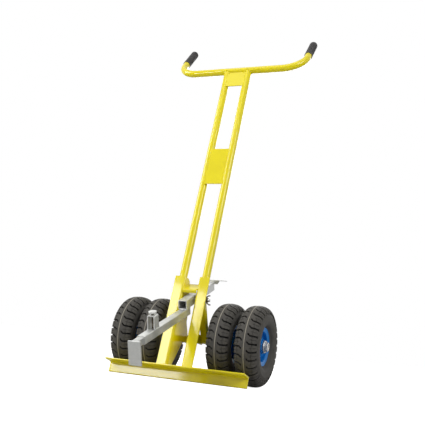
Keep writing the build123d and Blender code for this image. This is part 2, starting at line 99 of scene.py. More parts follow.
@dataclass(frozen=True)
class Place:
    """A frame of the drawing: a shift and a tilt about X, in millimetres and degrees."""

    origin: Point3 = (0.0, 0.0, 0.0)
    tilt: float = 0.0

    def turn(self, vectors: Array) -> Array:
        """Turns vectors about X: y becomes y cos - z sin, and z becomes y sin + z cos.

        Args:
            vectors: Any array whose last axis is x, y, z.

        Returns:
            The turned vectors in an array of the same shape.
        """
        cos, sin = math.cos(math.radians(self.tilt)), math.sin(math.radians(self.tilt))
        x, y, z = np.moveaxis(np.asarray(vectors, float), -1, 0)
        return np.stack([x, cos * y - sin * z, sin * y + cos * z], -1)

    def put(self, points: Array) -> Array:
        """Carries points from this frame to the shared one."""
        return self.turn(points) + np.array(self.origin)

    def moved(self, x: float = 0.0, y: float = 0.0, z: float = 0.0, tilt: float = 0.0) -> "Place":
        """Makes a frame that is shifted and then tilted inside this one.

        Args:
            x: Shift to the right.
            y: Shift to the rear.
            z: Shift upward.
            tilt: Further tilt about X, in degrees.

        Returns:
            The new frame.
        """
        return Place(tuple(self.put(np.array([x, y, z]))), self.tilt + tilt)


AXLE_Y = 59.36
WHEEL_RADIUS = 130.0
LEAN = 14.25
AXLE = Place((0.0, AXLE_Y, WHEEL_RADIUS))
FRAME = AXLE.moved(tilt=-LEAN)
PIVOT = FRAME.moved(y=-91.0, z=113.0)
ROCKER = PIVOT.moved(tilt=35.75)
ARM = ROCKER.moved(y=-70.0, z=-15.0, tilt=-1.5)
BAR = FRAME.moved(y=-100.0, z=1048.0, tilt=63.0)


@dataclass
class Surface:
    """Points in millimetres with their faces, their known normals and their painted marks."""

    points: Array
    faces: list[list[int]]
    normals: Array | None = None
    marks: dict[str, Array] = field(default_factory=dict)

    def placed(self, place: Place) -> "Surface":
        """Carries the surface into another frame."""
        normals = None if self.normals is None else place.turn(self.normals)
        return Surface(place.put(self.points), self.faces, normals, self.marks)

    def mirrored(self) -> "Surface":
        """Gives the surface's image on the other side of the trolley's middle.

        Returns:
            The image, with its faces turned round so that they point outward.
        """
        flip = np.array([-1.0, 1.0, 1.0])
        normals = None if self.normals is None else self.normals * flip
        return Surface(self.points * flip, [face[::-1] for face in self.faces], normals, self.marks)

    @staticmethod
    def joined(parts: Iterable["Surface"]) -> "Surface":
        """Puts several surfaces into one, which keeps normals only if all parts have them.

        Args:
            parts: The surfaces, in any frame that they share.

        Returns:
            One surface with all their points and faces.
        """
        parts = list(parts)
        starts = np.cumsum([0] + [len(part.points) for part in parts])
        faces = [[start + k for k in face] for start, part in zip(starts, parts) for face in part.faces]
        known = all(part.normals is not None for part in parts)
        normals = np.concatenate([part.normals for part in parts]) if known else None
        return Surface(np.concatenate([part.points for part in parts]), faces, normals)


@dataclass(frozen=True)
class Outline:
    """A flat line of points with the normals on its right-hand side."""

    points: Array
    normals: Array


def circle(steps: int) -> Array:
    """Evenly spaced angles round a full turn."""
    return np.linspace(0.0, FULL_TURN, steps, endpoint=False)


def rounded(corners: Sequence[Point2] | Array, radii: float | Sequence[float], steps: int = 4,
            closed: bool = True) -> Outline:
    """Rounds the corners of a polygon or of an open line.

    At a corner the normal of the edge before it is swung through the corner's turn, and the
    point follows at the radius from the arc's centre. A radius is cut back where an edge is
    too short for it.

    Args:
        corners: The corner points; a closed outline may run either way round.
        radii: One radius for all corners, or one each.
        steps: Pieces of each arc.
        closed: Whether the last corner joins the first.

    Returns:
        The rounded line, counter-clockwise if it is closed.
    """
    p = np.asarray(corners, float)
    r = np.array(np.broadcast_to(np.asarray(radii, float), len(p)))
    ahead = np.roll(p, -1, 0)
    if closed and np.sum(p[:, 0] * ahead[:, 1] - p[:, 1] * ahead[:, 0]) < 0:
        p, r = p[::-1], r[::-1]
        ahead = np.roll(p, -1, 0)
    out = ahead - p
    length = np.linalg.norm(out, axis=1)
    out = out / length[:, None]
    into = np.roll(out, 1, 0)
    turn = np.arctan2(into[:, 0] * out[:, 1] - into[:, 1] * out[:, 0], np.sum(into * out, 1))
    half = np.maximum(np.tan(np.abs(turn) / 2), TINY)
    reach = np.minimum(r * half, EDGE_SHARE * np.minimum(length, np.roll(length, 1)))
    signed = (np.sign(turn) * reach / half)[:, None]
    side = np.stack([into[:, 1], -into[:, 0]], 1)
    centre = p - into * reach[:, None] - signed * side
    angle = turn[:, None] * np.linspace(0.0, 1.0, steps + 1)
    cos, sin = np.cos(angle), np.sin(angle)
    normal = np.stack([cos * side[:, None, 0] - sin * side[:, None, 1],
                       sin * side[:, None, 0] + cos * side[:, None, 1]], -1)
    point = centre[:, None] + signed[:, None] * normal
    if closed:
        return Outline(point.reshape(-1, 2), normal.reshape(-1, 2))
    first, last = np.stack([out[0, 1], -out[0, 0]]), np.stack([out[-2, 1], -out[-2, 0]])
    points = np.concatenate([p[:1], point[1:-1].reshape(-1, 2), p[-1:]])
    return Outline(points, np.concatenate([first[None], normal[1:-1].reshape(-1, 2), last[None]]))


def lattice(points: Array, normals: Array | None, wrap: tuple[bool, bool]) -> Surface:
    """Joins a grid of points with quads, and closes its two open rings.

    Args:
        points: Array of rows by columns by 3; row step cross column step points outward.
        normals: Outward normals of the same shape, or None.
        wrap: Whether the rows and the columns run round to their start.

    Returns:
        The surface.
    """
    rows, columns = points.shape[:2]
    flat = np.arange(rows * columns).reshape(rows, columns)
    index = np.pad(flat, [(0, int(wrap[0])), (0, int(wrap[1]))], mode="wrap")
    quads = np.stack([index[:-1, :-1], index[1:, :-1], index[1:, 1:], index[:-1, 1:]], -1)
    faces = quads.reshape(-1, 4).tolist()
    if wrap == (False, True):
        faces += [flat[0].tolist(), flat[-1, ::-1].tolist()]
    if wrap == (True, False):
        faces += [flat[::-1, 0].tolist(), flat[:, -1].tolist()]
    return Surface(points.reshape(-1, 3), faces, None if normals is None else normals.reshape(-1, 3))


def edge_rows(low: float, high: float, edge: float) -> tuple[Array, Array, Array, Array]:
    """Rows across a plate: a quarter round at its low face, and one at its high face.

    Args:
        low: The low face.
        high: The high face.
        edge: Radius of the rounds.

    Returns:
        The inset, the height, and the shares of the side's and of the axis's normal, by row.
    """
    angle = np.linspace(math.pi / 2, 0.0, RIM_STEPS + 1)
    inset = edge * (1 - np.cos(angle))
    rise = edge * (1 - np.sin(angle))
    return (np.concatenate([inset, inset[::-1]]),
            np.concatenate([low + rise, (high - rise)[::-1]]),
            np.concatenate([np.cos(angle), np.cos(angle)[::-1]]),
            np.concatenate([-np.sin(angle), np.sin(angle)[::-1]]))


def wall_grid(outline: Outline, low: float, high: float, edge: float, along: Along,
              inward: bool = False) -> tuple[Array, Array]:
    """The side wall of a plate or of a hole, with rounded rims.

    Args:
        outline: The outline, counter-clockwise.
        low: Start along the axis.
        high: End along the axis.
        edge: Radius of the rims.
        along: The axis.
        inward: Whether the wall is that of a hole.

    Returns:
        Points and normals, outline points by rows by 3.
    """
    inset, height, side, axial = edge_rows(low, high, edge)
    sign = -1.0 if inward else 1.0
    flat = outline.points[:, None] - sign * outline.normals[:, None] * inset[:, None]
    rise = np.broadcast_to(height, flat.shape[:2])[..., None]
    normal = sign * outline.normals[:, None] * side[:, None]
    lift = np.broadcast_to(axial, flat.shape[:2])[..., None]
    order = list(along.value)
    return (np.concatenate([flat, rise], -1)[..., order], np.concatenate([normal, lift], -1)[..., order])


def prism(outline: Outline, low: float, high: float, along: Along, edge: float = 0.6) -> Surface:
    """A solid plate or bar: its outline carried from low to high with rounded rims."""
    points, normals = wall_grid(outline, low, high, edge, along)
    return lattice(points, normals, (True, False))


def pipe(outer: Outline, inner: Outline, low: float, high: float, along: Along, edge: float = 0.4) -> Surface:
    """A hollow bar: an outer wall, an inner wall and the two end faces between them.

    Args:
        outer: The outer outline.
        inner: The inner outline, with as many points.
        low: Start along the axis.
        high: End along the axis.
        along: The axis.
        edge: Radius of the rims.

    Returns:
        The surface.
    """
    out_points, out_normals = wall_grid(outer, low, high, edge, along)
    in_points, in_normals = wall_grid(inner, low, high, edge, along, inward=True)
    points = np.concatenate([out_points, in_points[:, ::-1]], 1)
    normals = np.concatenate([out_normals, in_normals[:, ::-1]], 1)
    return lattice(points, normals, (True, True))


def square(size: float, radius: float, middle: Point2 = (0.0, 0.0)) -> Outline:
    """A square outline with rounded corners."""
    corners = np.array([(-1, -1), (1, -1), (1, 1), (-1, 1)]) * size / 2 + middle
    return rounded(corners, radius)


def box_tube(size: Point2, span: Point2, rounds: Point2, middle: Point2 = (0.0, 0.0)) -> Surface:
    """A square tube along Y, given as its width and wall, its span, and its outer and inner rounds."""
    (width, wall), (outside, inside) = size, rounds
    return pipe(square(width, outside, middle), square(width - 2 * wall, inside, middle), *span, Along.Y)


def lathe(profile: Outline, along: Along, closed: bool = True, steps: int = ROUND_STEPS) -> Surface:
    """Turns a profile of (axial, radius) about an axis: u is r cos t, v is r sin t, w is axial.

    Args:
        profile: Counter-clockwise; an open one runs from the high end to the low end.
        along: The axis.
        closed: Whether the profile is a ring that stays clear of the axis.
        steps: Points round the axis.

    Returns:
        The surface.
    """
    cos, sin = np.cos(circle(steps)), np.sin(circle(steps))

    def spun(flat: Array) -> Array:
        """Spins flat (axial, radial) values into (u, v, w)."""
        axial = np.broadcast_to(flat[:, :1], (len(flat), steps))
        return np.stack([flat[:, 1:] * cos, flat[:, 1:] * sin, axial], -1)[..., list(along.value)]

    return lattice(spun(profile.points), spun(profile.normals), (closed, True))


def ring(outer: float, inner: float, low: float, high: float, along: Along, edge: float = 0.5) -> Surface:
    """A washer, sleeve or round tube with rounded rims."""
    return lathe(rounded([(low, inner), (high, inner), (high, outer), (low, outer)], edge), along)


def rod(radius: float, low: float, high: float, along: Along, edge: float = 1.0) -> Surface:
    """A round bar with rounded ends."""
    corners = [(high, HEART), (high, radius), (low, radius), (low, HEART)]
    return lathe(rounded(corners, edge, closed=False), along, closed=False)


def threaded(radius: float, dip: float, span: Point2, tip: float, blunt: float, along: Along) -> Surface:
    """A threaded rod: its radius dips with a wave that climbs one pitch in a turn.

    Args:
        radius: Radius over the thread's crests.
        dip: Depth of its valleys.
        span: Start and end along the axis.
        tip: The free end, which tapers over its last stretch.
        blunt: Share of the radius that is left at the tip.
        along: The axis.

    Returns:
        The surface, without known normals.
    """
    low, high = span
    angle = circle(THREAD_STEPS)
    run = np.linspace(high, low, int((high - low) / THREAD_PITCH * THREAD_ROWS))[:, None]
    wave = np.abs((run / THREAD_PITCH - angle / FULL_TURN) % 1.0 - 0.5) * 2
    r = (radius - dip * wave) * np.clip(np.abs(tip - run) / THREAD_TAPER + blunt, 0.0, 1.0)
    points = np.stack([r * np.cos(angle), r * np.sin(angle), np.broadcast_to(run, r.shape)], -1)
    return lattice(points[..., list(along.value)], None, (False, True))


def hexagon(across: float, low: float, high: float, bore: float = 0.0) -> Surface:
    """A nut or bolt head along X, its corners cut by a cone of 30 degrees.

    The side stands at across / 2 over the cosine of the angle from the nearest flat's middle.

    Args:
        across: Width across flats.
        low: The seat.
        high: The outer face, on either side of the seat.
        bore: Radius of the hole, or 0 for a solid head.

    Returns:
        The surface, without known normals.
    """
    steps, top, chamfer = 72, 0.475 * across, 0.6
    angle = circle(steps)
    side = across / 2 / np.cos((angle + math.pi / 6) % (math.pi / 3) - math.pi / 6)
    out = math.copysign(1.0, high - low)
    cut = high - out * (side - top) * math.tan(math.radians(30.0))
    radius = [side, side, np.full(steps, top)]
    height = [np.full(steps, low), cut, np.full(steps, high)]
    if bore:
        radius += [np.full(steps, bore + chamfer), np.full(steps, bore), np.full(steps, bore)]
        height += [np.full(steps, high), np.full(steps, high - out * chamfer), np.full(steps, low)]
    r, a = np.stack(radius), np.stack(height)
    points = np.stack([a, r * np.cos(angle), r * np.sin(angle)], -1)
    if out > 0:
        points = points[::-1]
    return lattice(points, None, (bool(bore), True))


def rippled(phase: Array) -> Array:
    """A weld's thickness along its ripples, as a share: 0.84 in a valley and 1 on a crest."""
    return 0.84 + 0.16 * np.abs(np.sin(phase))


def welded(heart: Array, side: Array, over: Array, thick: Array, closed: bool) -> Surface:
    """Carries a round along a line: at the angle t it lies at heart + thick (side cos t - over sin t).

    Args:
        heart: The line's points.
        side: Unit vectors across the line, one for all points or one each.
        over: Unit vectors across the line and across side, likewise.
        thick: The round's radius at each point.
        closed: Whether the line runs round to its start.

    Returns:
        The surface, without known normals.
    """
    turn = circle(WELD_STEPS)[:, None]
    around = side[..., None, :] * np.cos(turn) - over[..., None, :] * np.sin(turn)
    return lattice(heart[:, None] + thick[:, None, None] * around, None, (closed, True))


def bead(start: Point3, end: Point3, radius: float = WELD_RADIUS) -> Surface:
    """A straight bead of weld, which ripples and wanders along its run and falls off at its ends.

    Args:
        start: Middle of the bead's start.
        end: Middle of its end.
        radius: Largest radius.

    Returns:
        The surface.
    """
    a, b = np.asarray(start, float), np.asarray(end, float)
    length = float(np.linalg.norm(b - a))
    fewest_rows, askew, fall, tip = 12, (0.31, 0.53, 0.79), 2.0, 0.3
    run = np.linspace(0.0, length, max(int(length / WELD_ROW), fewest_rows))
    ahead = (b - a) / length
    side = np.cross(ahead, askew)
    side /= np.linalg.norm(side)
    taper = np.clip(np.minimum(run, length - run) / fall + tip, 0.0, 1.0) ** 0.5
    thick = radius * taper * rippled(math.pi * run / WELD_PITCH)
    drift = 0.2 * np.sin(run * 0.9 + a.sum()) + 0.12 * np.sin(run * 2.3 + b.sum())
    heart = a + ahead * run[:, None] + side * drift[:, None]
    return welded(heart, side, np.cross(ahead, side), thick, closed=False)


def both_sides(surface: Surface) -> Surface:
    """A surface together with its mirror image."""
    return Surface.joined([surface, surface.mirrored()])


class Sock:
    """A shader socket that takes part in Python arithmetic."""

    def __init__(self, recipe: "Recipe", socket: bpy.types.NodeSocket) -> None:
        """Keeps the socket and the recipe that its nodes go to."""
        self.recipe = recipe
        self.socket = socket

    def __add__(self, other: "Value") -> "Sock":
        """Adds."""
        return self.recipe.math("ADD", self, other)

    __radd__ = __add__

    def __rsub__(self, other: "Value") -> "Sock":
        """Subtracts this from a value."""
        return self.recipe.math("SUBTRACT", other, self)

    def __mul__(self, other: "Value") -> "Sock":
        """Multiplies."""
        return self.recipe.math("MULTIPLY", self, other)

    __rmul__ = __mul__


Value = Sock | float


class Recipe:
    """A material under construction."""

    def __init__(self, name: str) -> None:
        """Starts a material that holds only its output.

        Args:
            name: The material's name.
        """
        self.material = bpy.data.materials.new(name)
        self.material.use_nodes = True
        self.tree = self.material.node_tree
        self.tree.nodes.clear()
        self.output = self.tree.nodes.new("ShaderNodeOutputMaterial")
        self.coords = self.node("ShaderNodeTexCoord", output="Object")

    def node(self, kind: str, settings: Mapping[str, Any] | None = None,
             sockets: Mapping[str | int, Any] | None = None, output: str | int = 0) -> Sock:
        """Adds one node.

        Args:
            kind: The node's type.
            settings: Its own settings, which are set first.
            sockets: Values or links of its sockets, by name or number.
            output: The output to hand back.

        Returns:
            That output.
        """
        made = self.tree.nodes.new(kind)
        for name, value in (settings or {}).items():
            setattr(made, name, value)
        for key, value in (sockets or {}).items():
            if isinstance(value, Sock):
                self.tree.links.new(value.socket, made.inputs[key])
            else:
                made.inputs[key].default_value = value
        return Sock(self, made.outputs[output])

    def math(self, operation: str, *values: Value) -> Sock:
        """Adds a Math node."""
        return self.node("ShaderNodeMath", {"operation": operation}, dict(enumerate(values)))

    def step(self, value: Value, low: float, high: float) -> Sock:
        """Rises smoothly from 0 at low to 1 at high."""
        return self.node("ShaderNodeMapRange", {"interpolation_type": "SMOOTHSTEP"},
                         {"Value": value, "From Min": low, "From Max": high})

    def mix(self, share: Value, first: Sock | Colour, second: Sock | Colour) -> Sock:
        """Mixes two colours.

        Args:
            share: Share of the second colour.
            first: The first colour.
            second: The second colour.

        Returns:
            The mixed colour.
        """
        pair = [c if isinstance(c, Sock) else (*c, 1.0) for c in (first, second)]
        # A Mix node's colour sockets: inputs 6 and 7, output 2.
        return self.node("ShaderNodeMix", {"data_type": "RGBA"}, {0: share, 6: pair[0], 7: pair[1]}, 2)

    def noise(self, scale: float, detail: float = 2.0, stretch: Point3 = (1.0, 1.0, 1.0)) -> Sock:
        """A cloudy pattern from 0 to 1.

        Args:
            scale: Clouds in a metre.
            detail: Octaves.
            stretch: How much finer the clouds are along each axis.

        Returns:
            Its value.
        """
        where = self.coords
        if stretch != (1.0, 1.0, 1.0):
            where = self.node("ShaderNodeMapping", None, {"Vector": where, "Scale": stretch})
        return self.node("ShaderNodeTexNoise", None, {"Vector": where, "Scale": scale, "Detail": detail})

    def mark(self, name: str) -> Sock:
        """Reads a mark that is painted on the piece's points."""
        return self.node("ShaderNodeAttribute", {"attribute_name": name}, output="Fac")

    def bump(self, height: Sock, depth: float) -> Sock:
        """Turns a height from 0 to 1 into a bump of a depth in metres."""
        return self.node("ShaderNodeBump", None, {"Height": height, "Distance": depth})

    def finish(self, **sockets: Any) -> bpy.types.Material:
        """Closes the material with its shader.

        Args:
            sockets: The shader's values or links, with _ for a space.

        Returns:
            The material.
        """
        named = {key.replace("_", " "): value for key, value in sockets.items()}
        shader = self.node("ShaderNodeBsdfPrincipled", None, named)
        self.tree.links.new(shader.socket, self.output.inputs["Surface"])
        return self.material


@dataclass(frozen=True)
class Paint:
    """Gloss paint from a spray gun: faint clouds of colour and an orange-peel skin."""

    slot: Coat
    colour: Colour
    deep: Colour
    gloss: float
    shine: float
    cloud_scale: float = 14.0
    haze_scale: float = 45.0
    dust_scale: float = 260.0
    haze: float = 0.04
    peel_scale: float = 420.0
    peel_depth: float = 0.000012

    def make(self) -> bpy.types.Material:
        """Builds the material.

        Returns:
            The material, named for its slot.
        """
        paint = Recipe(self.slot.value)
        clouds = paint.noise(self.cloud_scale, 3.0)
        dust = paint.step(paint.noise(self.dust_scale, 4.0), 0.62, 0.78)
        base = paint.mix(paint.step(clouds, 0.3, 0.7), self.deep, self.colour)
        rough = self.gloss + self.haze * paint.noise(self.haze_scale) + self.haze * dust
        peel = paint.bump(paint.noise(self.peel_scale, 1.0), self.peel_depth)
        return paint.finish(Base_Color=base, Roughness=rough, Normal=peel, Specular_IOR_Level=self.shine)


@dataclass(frozen=True)
class Galvanised:
    """Dipped zinc: dull spangles, a few milky runs and fine grit."""

    slot: Coat
    light: Colour
    dull: Colour
    spangle_scale: float = 170.0
    run_scale: float = 24.0
    grit_scale: float = 900.0
    grit_depth: float = 0.00005
    metal: float = 0.75

    def make(self) -> bpy.types.Material:
        """Builds the material.

        Returns:
            The material, named for its slot.
        """
        zinc = Recipe(self.slot.value)
        cells = {"Vector": zinc.coords, "Scale": self.spangle_scale}
        spangle = zinc.node("ShaderNodeTexVoronoi", None, cells, "Color")
        grain = zinc.node("ShaderNodeSeparateColor", None, {0: spangle})
        runs = zinc.step(zinc.noise(self.run_scale, 4.0), 0.35, 0.7)
        base = zinc.mix(0.35 * grain + 0.65 * runs, self.dull, self.light)
        rough = 0.34 + 0.14 * grain + 0.1 * runs
        grit = zinc.bump(zinc.noise(self.grit_scale, 3.0), self.grit_depth)
        return zinc.finish(Base_Color=base, Roughness=rough, Metallic=self.metal, Normal=grit)


@dataclass(frozen=True)
class Turned:
    """Bright or blackened steel with fine tool marks round its axis."""

    slot: Coat
    colour: Colour
    shade: Colour
    roughness: float
    mark_scale: float = 60.0
    mark_stretch: Point3 = (18.0, 1.0, 1.0)
    mark_depth: float = 0.00003
    film_scale: float = 55.0

    def make(self) -> bpy.types.Material:
        """Builds the material.

        Returns:
            The material, named for its slot.
        """
        steel = Recipe(self.slot.value)
        marks = steel.noise(self.mark_scale, 3.0, self.mark_stretch)
        film = steel.step(steel.noise(self.film_scale, 4.0), 0.4, 0.72)
        base = steel.mix(0.5 * film + 0.3 * marks, self.colour, self.shade)
        rough = self.roughness + 0.16 * film
        return steel.finish(Base_Color=base, Roughness=rough, Metallic=1.0,
                            Normal=steel.bump(marks, self.mark_depth))


@dataclass(frozen=True)
class TyreRubber:
    """Matt charcoal rubber, with painted shade that darkens its grooves by their depth, and pale along its
    moulding seam.
    """

    slot: Coat
    colour: Colour
    dusty: Colour
    # Painted shade: the near-black colour that the grooves darken to.
    groove_shade: Colour
    seam: Colour
    cloud_scale: float = 38.0
    pore_scale: float = 750.0
    pore_depth: float = 0.00012
    shine: float = 0.15

    def make(self) -> bpy.types.Material:
        """Builds the material.

        Returns:
            The material, named for its slot.
        """
        rubber = Recipe(self.slot.value)
        clouds = rubber.step(rubber.noise(self.cloud_scale, 4.0), 0.35, 0.7)
        base = rubber.mix(clouds, self.colour, self.dusty)
        # Painted shade: the grooves are darkened in step with their depth.
        base = rubber.mix(rubber.mark("groove_shade"), base, self.groove_shade)
        base = rubber.mix(0.9 * rubber.mark("seam"), base, self.seam)
        rough = 0.62 + 0.2 * clouds
        pores = rubber.bump(rubber.noise(self.pore_scale, 3.0), self.pore_depth)
        return rubber.finish(Base_Color=base, Roughness=rough, Normal=pores, Specular_IOR_Level=self.shine)


@dataclass(frozen=True)
class GripRubber:
    """Soft near-black sleeve with a faint sheen of handling."""

    slot: Coat
    colour: Colour
    worn: Colour
    touch_scale: float = 30.0
    skin_scale: float = 1100.0
    skin_depth: float = 0.00008

    def make(self) -> bpy.types.Material:
        """Builds the material.

        Returns:
            The material, named for its slot.
        """
        sleeve = Recipe(self.slot.value)
        touch = sleeve.step(sleeve.noise(self.touch_scale, 3.0), 0.4, 0.75)
        base = sleeve.mix(touch, self.colour, self.worn)
        skin = sleeve.bump(sleeve.noise(self.skin_scale, 2.0), self.skin_depth)
        return sleeve.finish(Base_Color=base, Roughness=0.6 - 0.14 * touch, Normal=skin)


FINISHES = (
    Paint(Coat.YELLOW, (0.79, 0.675, 0.004), (0.755, 0.635, 0.003), 0.06, 0.38),
    Paint(Coat.BLUE, (0.012, 0.19, 0.57), (0.008, 0.165, 0.5), 0.16, 0.12),
    Galvanised(Coat.ZINC, (0.64, 0.645, 0.62), (0.51, 0.515, 0.5)),
    Turned(Coat.STEEL, (0.62, 0.61, 0.59), (0.42, 0.41, 0.39), 0.24),
    Turned(Coat.DARK, (0.17, 0.145, 0.11), (0.08, 0.068, 0.052), 0.4),
    TyreRubber(Coat.TYRE, (0.067, 0.063, 0.057), (0.086, 0.081, 0.072), (0.011, 0.0105, 0.01),
               (0.3, 0.275, 0.225)),
    GripRubber(Coat.GRIP, (0.02, 0.018, 0.018), (0.034, 0.031, 0.031)),
)


class Bench:
    """Where surfaces become pieces of the trolley."""

    def __init__(self) -> None:
        """Makes every finish once."""
        self.materials = {finish.slot: finish.make() for finish in FINISHES}

    def add(self, name: str, surface: Surface, body: str, coat: Coat, *nodes: str) -> None:
        """Turns a surface into a piece that rides on a body.

        Args:
            name: The piece's name.
            surface: Its surface, in the shared frame, in millimetres.
            body: The body that it rides on.
            coat: Its finish.
            nodes: The solids that it stands for.
        """
        mesh = bpy.data.meshes.new(name)
        mesh.from_pydata((surface.points * METRES).tolist(), [], surface.faces)
        mesh.polygons.foreach_set("use_smooth", np.ones(len(mesh.polygons), bool))
        for mark, values in surface.marks.items():
            mesh.attributes.new(mark, "FLOAT", "POINT").data.foreach_set("value", values.astype(np.float32))
        if surface.normals is None:
            mesh.set_sharp_from_angle(angle=math.radians(SHARP_ANGLE))
        else:
            mesh.normals_split_custom_set_from_vertices(surface.normals.tolist())
        mesh.materials.append(self.materials[coat])
        piece = bpy.data.objects.new(name, mesh)
        bpy.context.scene.collection.objects.link(piece)
        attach(piece, body)
        if nodes:
            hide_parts(*nodes)
        log.info("%s: %d faces on %s", name, len(mesh.polygons), body)

    def dress(self, node: str, surface: Surface, body: str, coat: Coat) -> None:
        """Adds a piece that stands for one solid and is named for it."""
        self.add(f"{node}_dressed", surface, body, coat, node)

    def dress_pair(self, node: str, surface: Surface, body: str, coat: Coat) -> None:
        """Dresses a solid of the right side and its twin on the left."""
        self.dress(f"right_{node}", surface, body, coat)
        self.dress(f"left_{node}", surface.mirrored(), body, coat)

    def coat(self, node: str, coat: Coat) -> None:
        """Gives a solid that stays as it is its finish.

        Args:
            node: The solid's name.
            coat: The finish.
        """
        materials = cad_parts[node].data.materials
        materials.clear()
        materials.append(self.materials[coat])
        log.info("%s keeps its solid", node)


@dataclass
class SteelFrame:
    """Toe bar, uprights, cheeks, top plate and struts, with their welds."""

    toe_half: float = 242.0
    toe_wall: float = 5.0
    shelf_z: float = -119.0
    shelf_front_y: float = -132.0
    shelf_back_y: float = -86.0
    face_y: float = -118.0
    face_wall: float = 4.5
    outer_x: float = 62.5
    cheek_x: float = 24.5
    cheek_wall: float = 3.5
    return_y: float = -103.0
    top_z: float = 183.0
    fold: float = 10.0
    eye: float = 12.5
    cover_z: float = 125.0
    cover_slope: float = 37.3
    cover_length: float = 61.0
    cover_lip: float = 11.0
    cover_wall: float = 4.0
    strut_size: float = 22.0
    strut_wall: float = 2.5
    strut_past: float = 14.0
    pivot: Point2 = (-91.0, 113.0)
    seams: tuple[float, ...] = (-105.0, -8.0, 125.0)
    seam_length: float = 42.0
    seam_bead: float = 1.3
    head_bead: float = 2.2

    def toe_bar(self) -> Surface:
        """The rolled angle: its outline in the side view, carried across the trolley.

        Returns:
            The surface, in FRAME.
        """
        lean = math.radians(LEAN)
        heel = (self.shelf_back_y * math.sin(lean) - WHEEL_RADIUS) / math.cos(lean)
        step_y, step_z = self.shelf_back_y - self.toe_wall, self.shelf_z - self.toe_wall
        corners = [(self.shelf_back_y, heel), (self.shelf_back_y, self.shelf_z),
                   (self.shelf_front_y, self.shelf_z), (self.shelf_front_y, step_z),
                   (step_y, step_z), (step_y, heel)]
        outline = rounded(corners, [1.0, 1.2, 1.0, 2.5, 5.0, 2.5], 5)
        return prism(outline, -self.toe_half, self.toe_half, Along.X, 0.8)

    def upright(self) -> Surface:
        """The right-hand upright: its folded outline in the top view, carried up the frame.

        Returns:
            The surface, in FRAME.
        """
        inner, back = self.cheek_x + self.cheek_wall, self.face_y + self.face_wall
        corners = [(self.cheek_x, self.face_y), (self.outer_x, self.face_y), (self.outer_x, back),
                   (inner, back), (inner, self.return_y), (self.cheek_x, self.return_y)]
        outline = rounded(corners, [self.fold, 0.9, 0.9, self.fold - self.face_wall, 0.8, 0.8], 8)
        return prism(outline, self.shelf_z, self.top_z, Along.Z, 0.7)

    def cheek(self) -> Surface:
        """The right-hand cheek: its side outline with the round eye, through its thickness.

        Returns:
            The surface, in FRAME.
        """
        eye = self.eye
        corners = [(self.return_y, self.top_z), (-92.0, self.top_z), (-79.0, 178.0), (-68.0, 163.0),
                   (-40.0, 75.0), (-31.0, eye), (eye, eye), (eye, -eye), (-36.0, -19.0),
                   (-79.0, -102.0), (self.shelf_back_y, self.shelf_z), (self.return_y, self.shelf_z)]
        radii = [0.8, 4.0, 6.0, 8.0, 20.0, 3.0, eye, eye, 8.0, 6.0, 1.0, 0.8]
        outline = rounded(corners, radii, 8)
        return prism(outline, self.cheek_x, self.cheek_x + self.cheek_wall, Along.X, 0.6)

    def top_plate(self) -> Surface:
        """The folded cover: its side outline, carried from cheek to cheek.

        Returns:
            The surface, in the cover's sloping frame.
        """
        lip, wall, length = self.cover_lip, self.cover_wall, self.cover_length
        under = lip - wall
        corners = [(0.0, 0.0), (0.0, lip), (length, lip), (length, under), (wall, under), (wall, 0.0)]
        outline = rounded(corners, [0.7, wall, 0.7, 0.7, 1.0, 0.7], 6)
        return prism(outline, -self.cheek_x, self.cheek_x, Along.X, 0.2)

    def cover_place(self) -> Place:
        """The frame of the cover, which runs up and back from the uprights' front faces."""
        return FRAME.moved(y=self.face_y, z=self.cover_z, tilt=self.cover_slope)

    def strut_place(self) -> Place:
        """The frame of the struts, which run up along z from the axle to the pivot."""
        return FRAME.moved(tilt=math.degrees(math.atan2(-self.pivot[0], self.pivot[1])))

    def strut(self) -> Surface:
        """The right-hand strut: a square tube from the axle to just past the pivot.

        Returns:
            The surface, in the struts' frame.
        """
        half = self.strut_size / 2
        middle = (self.cheek_x + self.cheek_wall + half, 0.0)
        hole = self.strut_size - 2 * self.strut_wall
        top = math.hypot(*self.pivot) + self.strut_past
        return pipe(square(self.strut_size, 2.5, middle), square(hole, 1.0, middle), 1.0, top, Along.Z)

    def welds(self) -> Surface:
        """The beads on the right-hand side, each just proud of the corner that it fills, and their twins.

        Returns:
            The surface, in the shared frame.
        """
        outside = self.cheek_x + self.cheek_wall
        front, floor, flank, end = self.face_y - 0.3, self.shelf_z + 0.3, outside + 0.2, self.outer_x + 0.3
        low, high, ledge = self.shelf_z + 0.2, self.top_z - 0.4, self.face_y + 5.6
        seam = (outside, self.return_y)
        flat = [bead((self.cheek_x + 1.0, front, floor), (self.outer_x - 0.5, front, floor)),
                bead((end, self.face_y + 1.0, low), (end, self.face_y + 4.0, low), self.seam_bead),
                bead((flank, self.face_y + 6.0, floor), (flank, self.shelf_back_y - 4.0, floor)),
                *(bead((*seam, z), (*seam, z + self.seam_length), self.seam_bead) for z in self.seams),
                bead((31.0, ledge, high), (52.0, ledge, high), self.head_bead)]
        inside, crest = self.cheek_x - 0.3, self.cover_lip + 0.2
        cover = bead((inside, 5.0, crest), (inside, self.cover_length - 2.0, crest))
        side, edge, top = outside + 0.4, self.strut_size / 2 + 0.2, 122.0
        brace = [bead((side, -edge, 62.0), (side, -edge, top)), bead((side, edge, 84.0), (side, edge, top))]
        return both_sides(Surface.joined([*(part.placed(FRAME) for part in flat),
                                          cover.placed(self.cover_place()),
                                          *(part.placed(self.strut_place()) for part in brace)]))

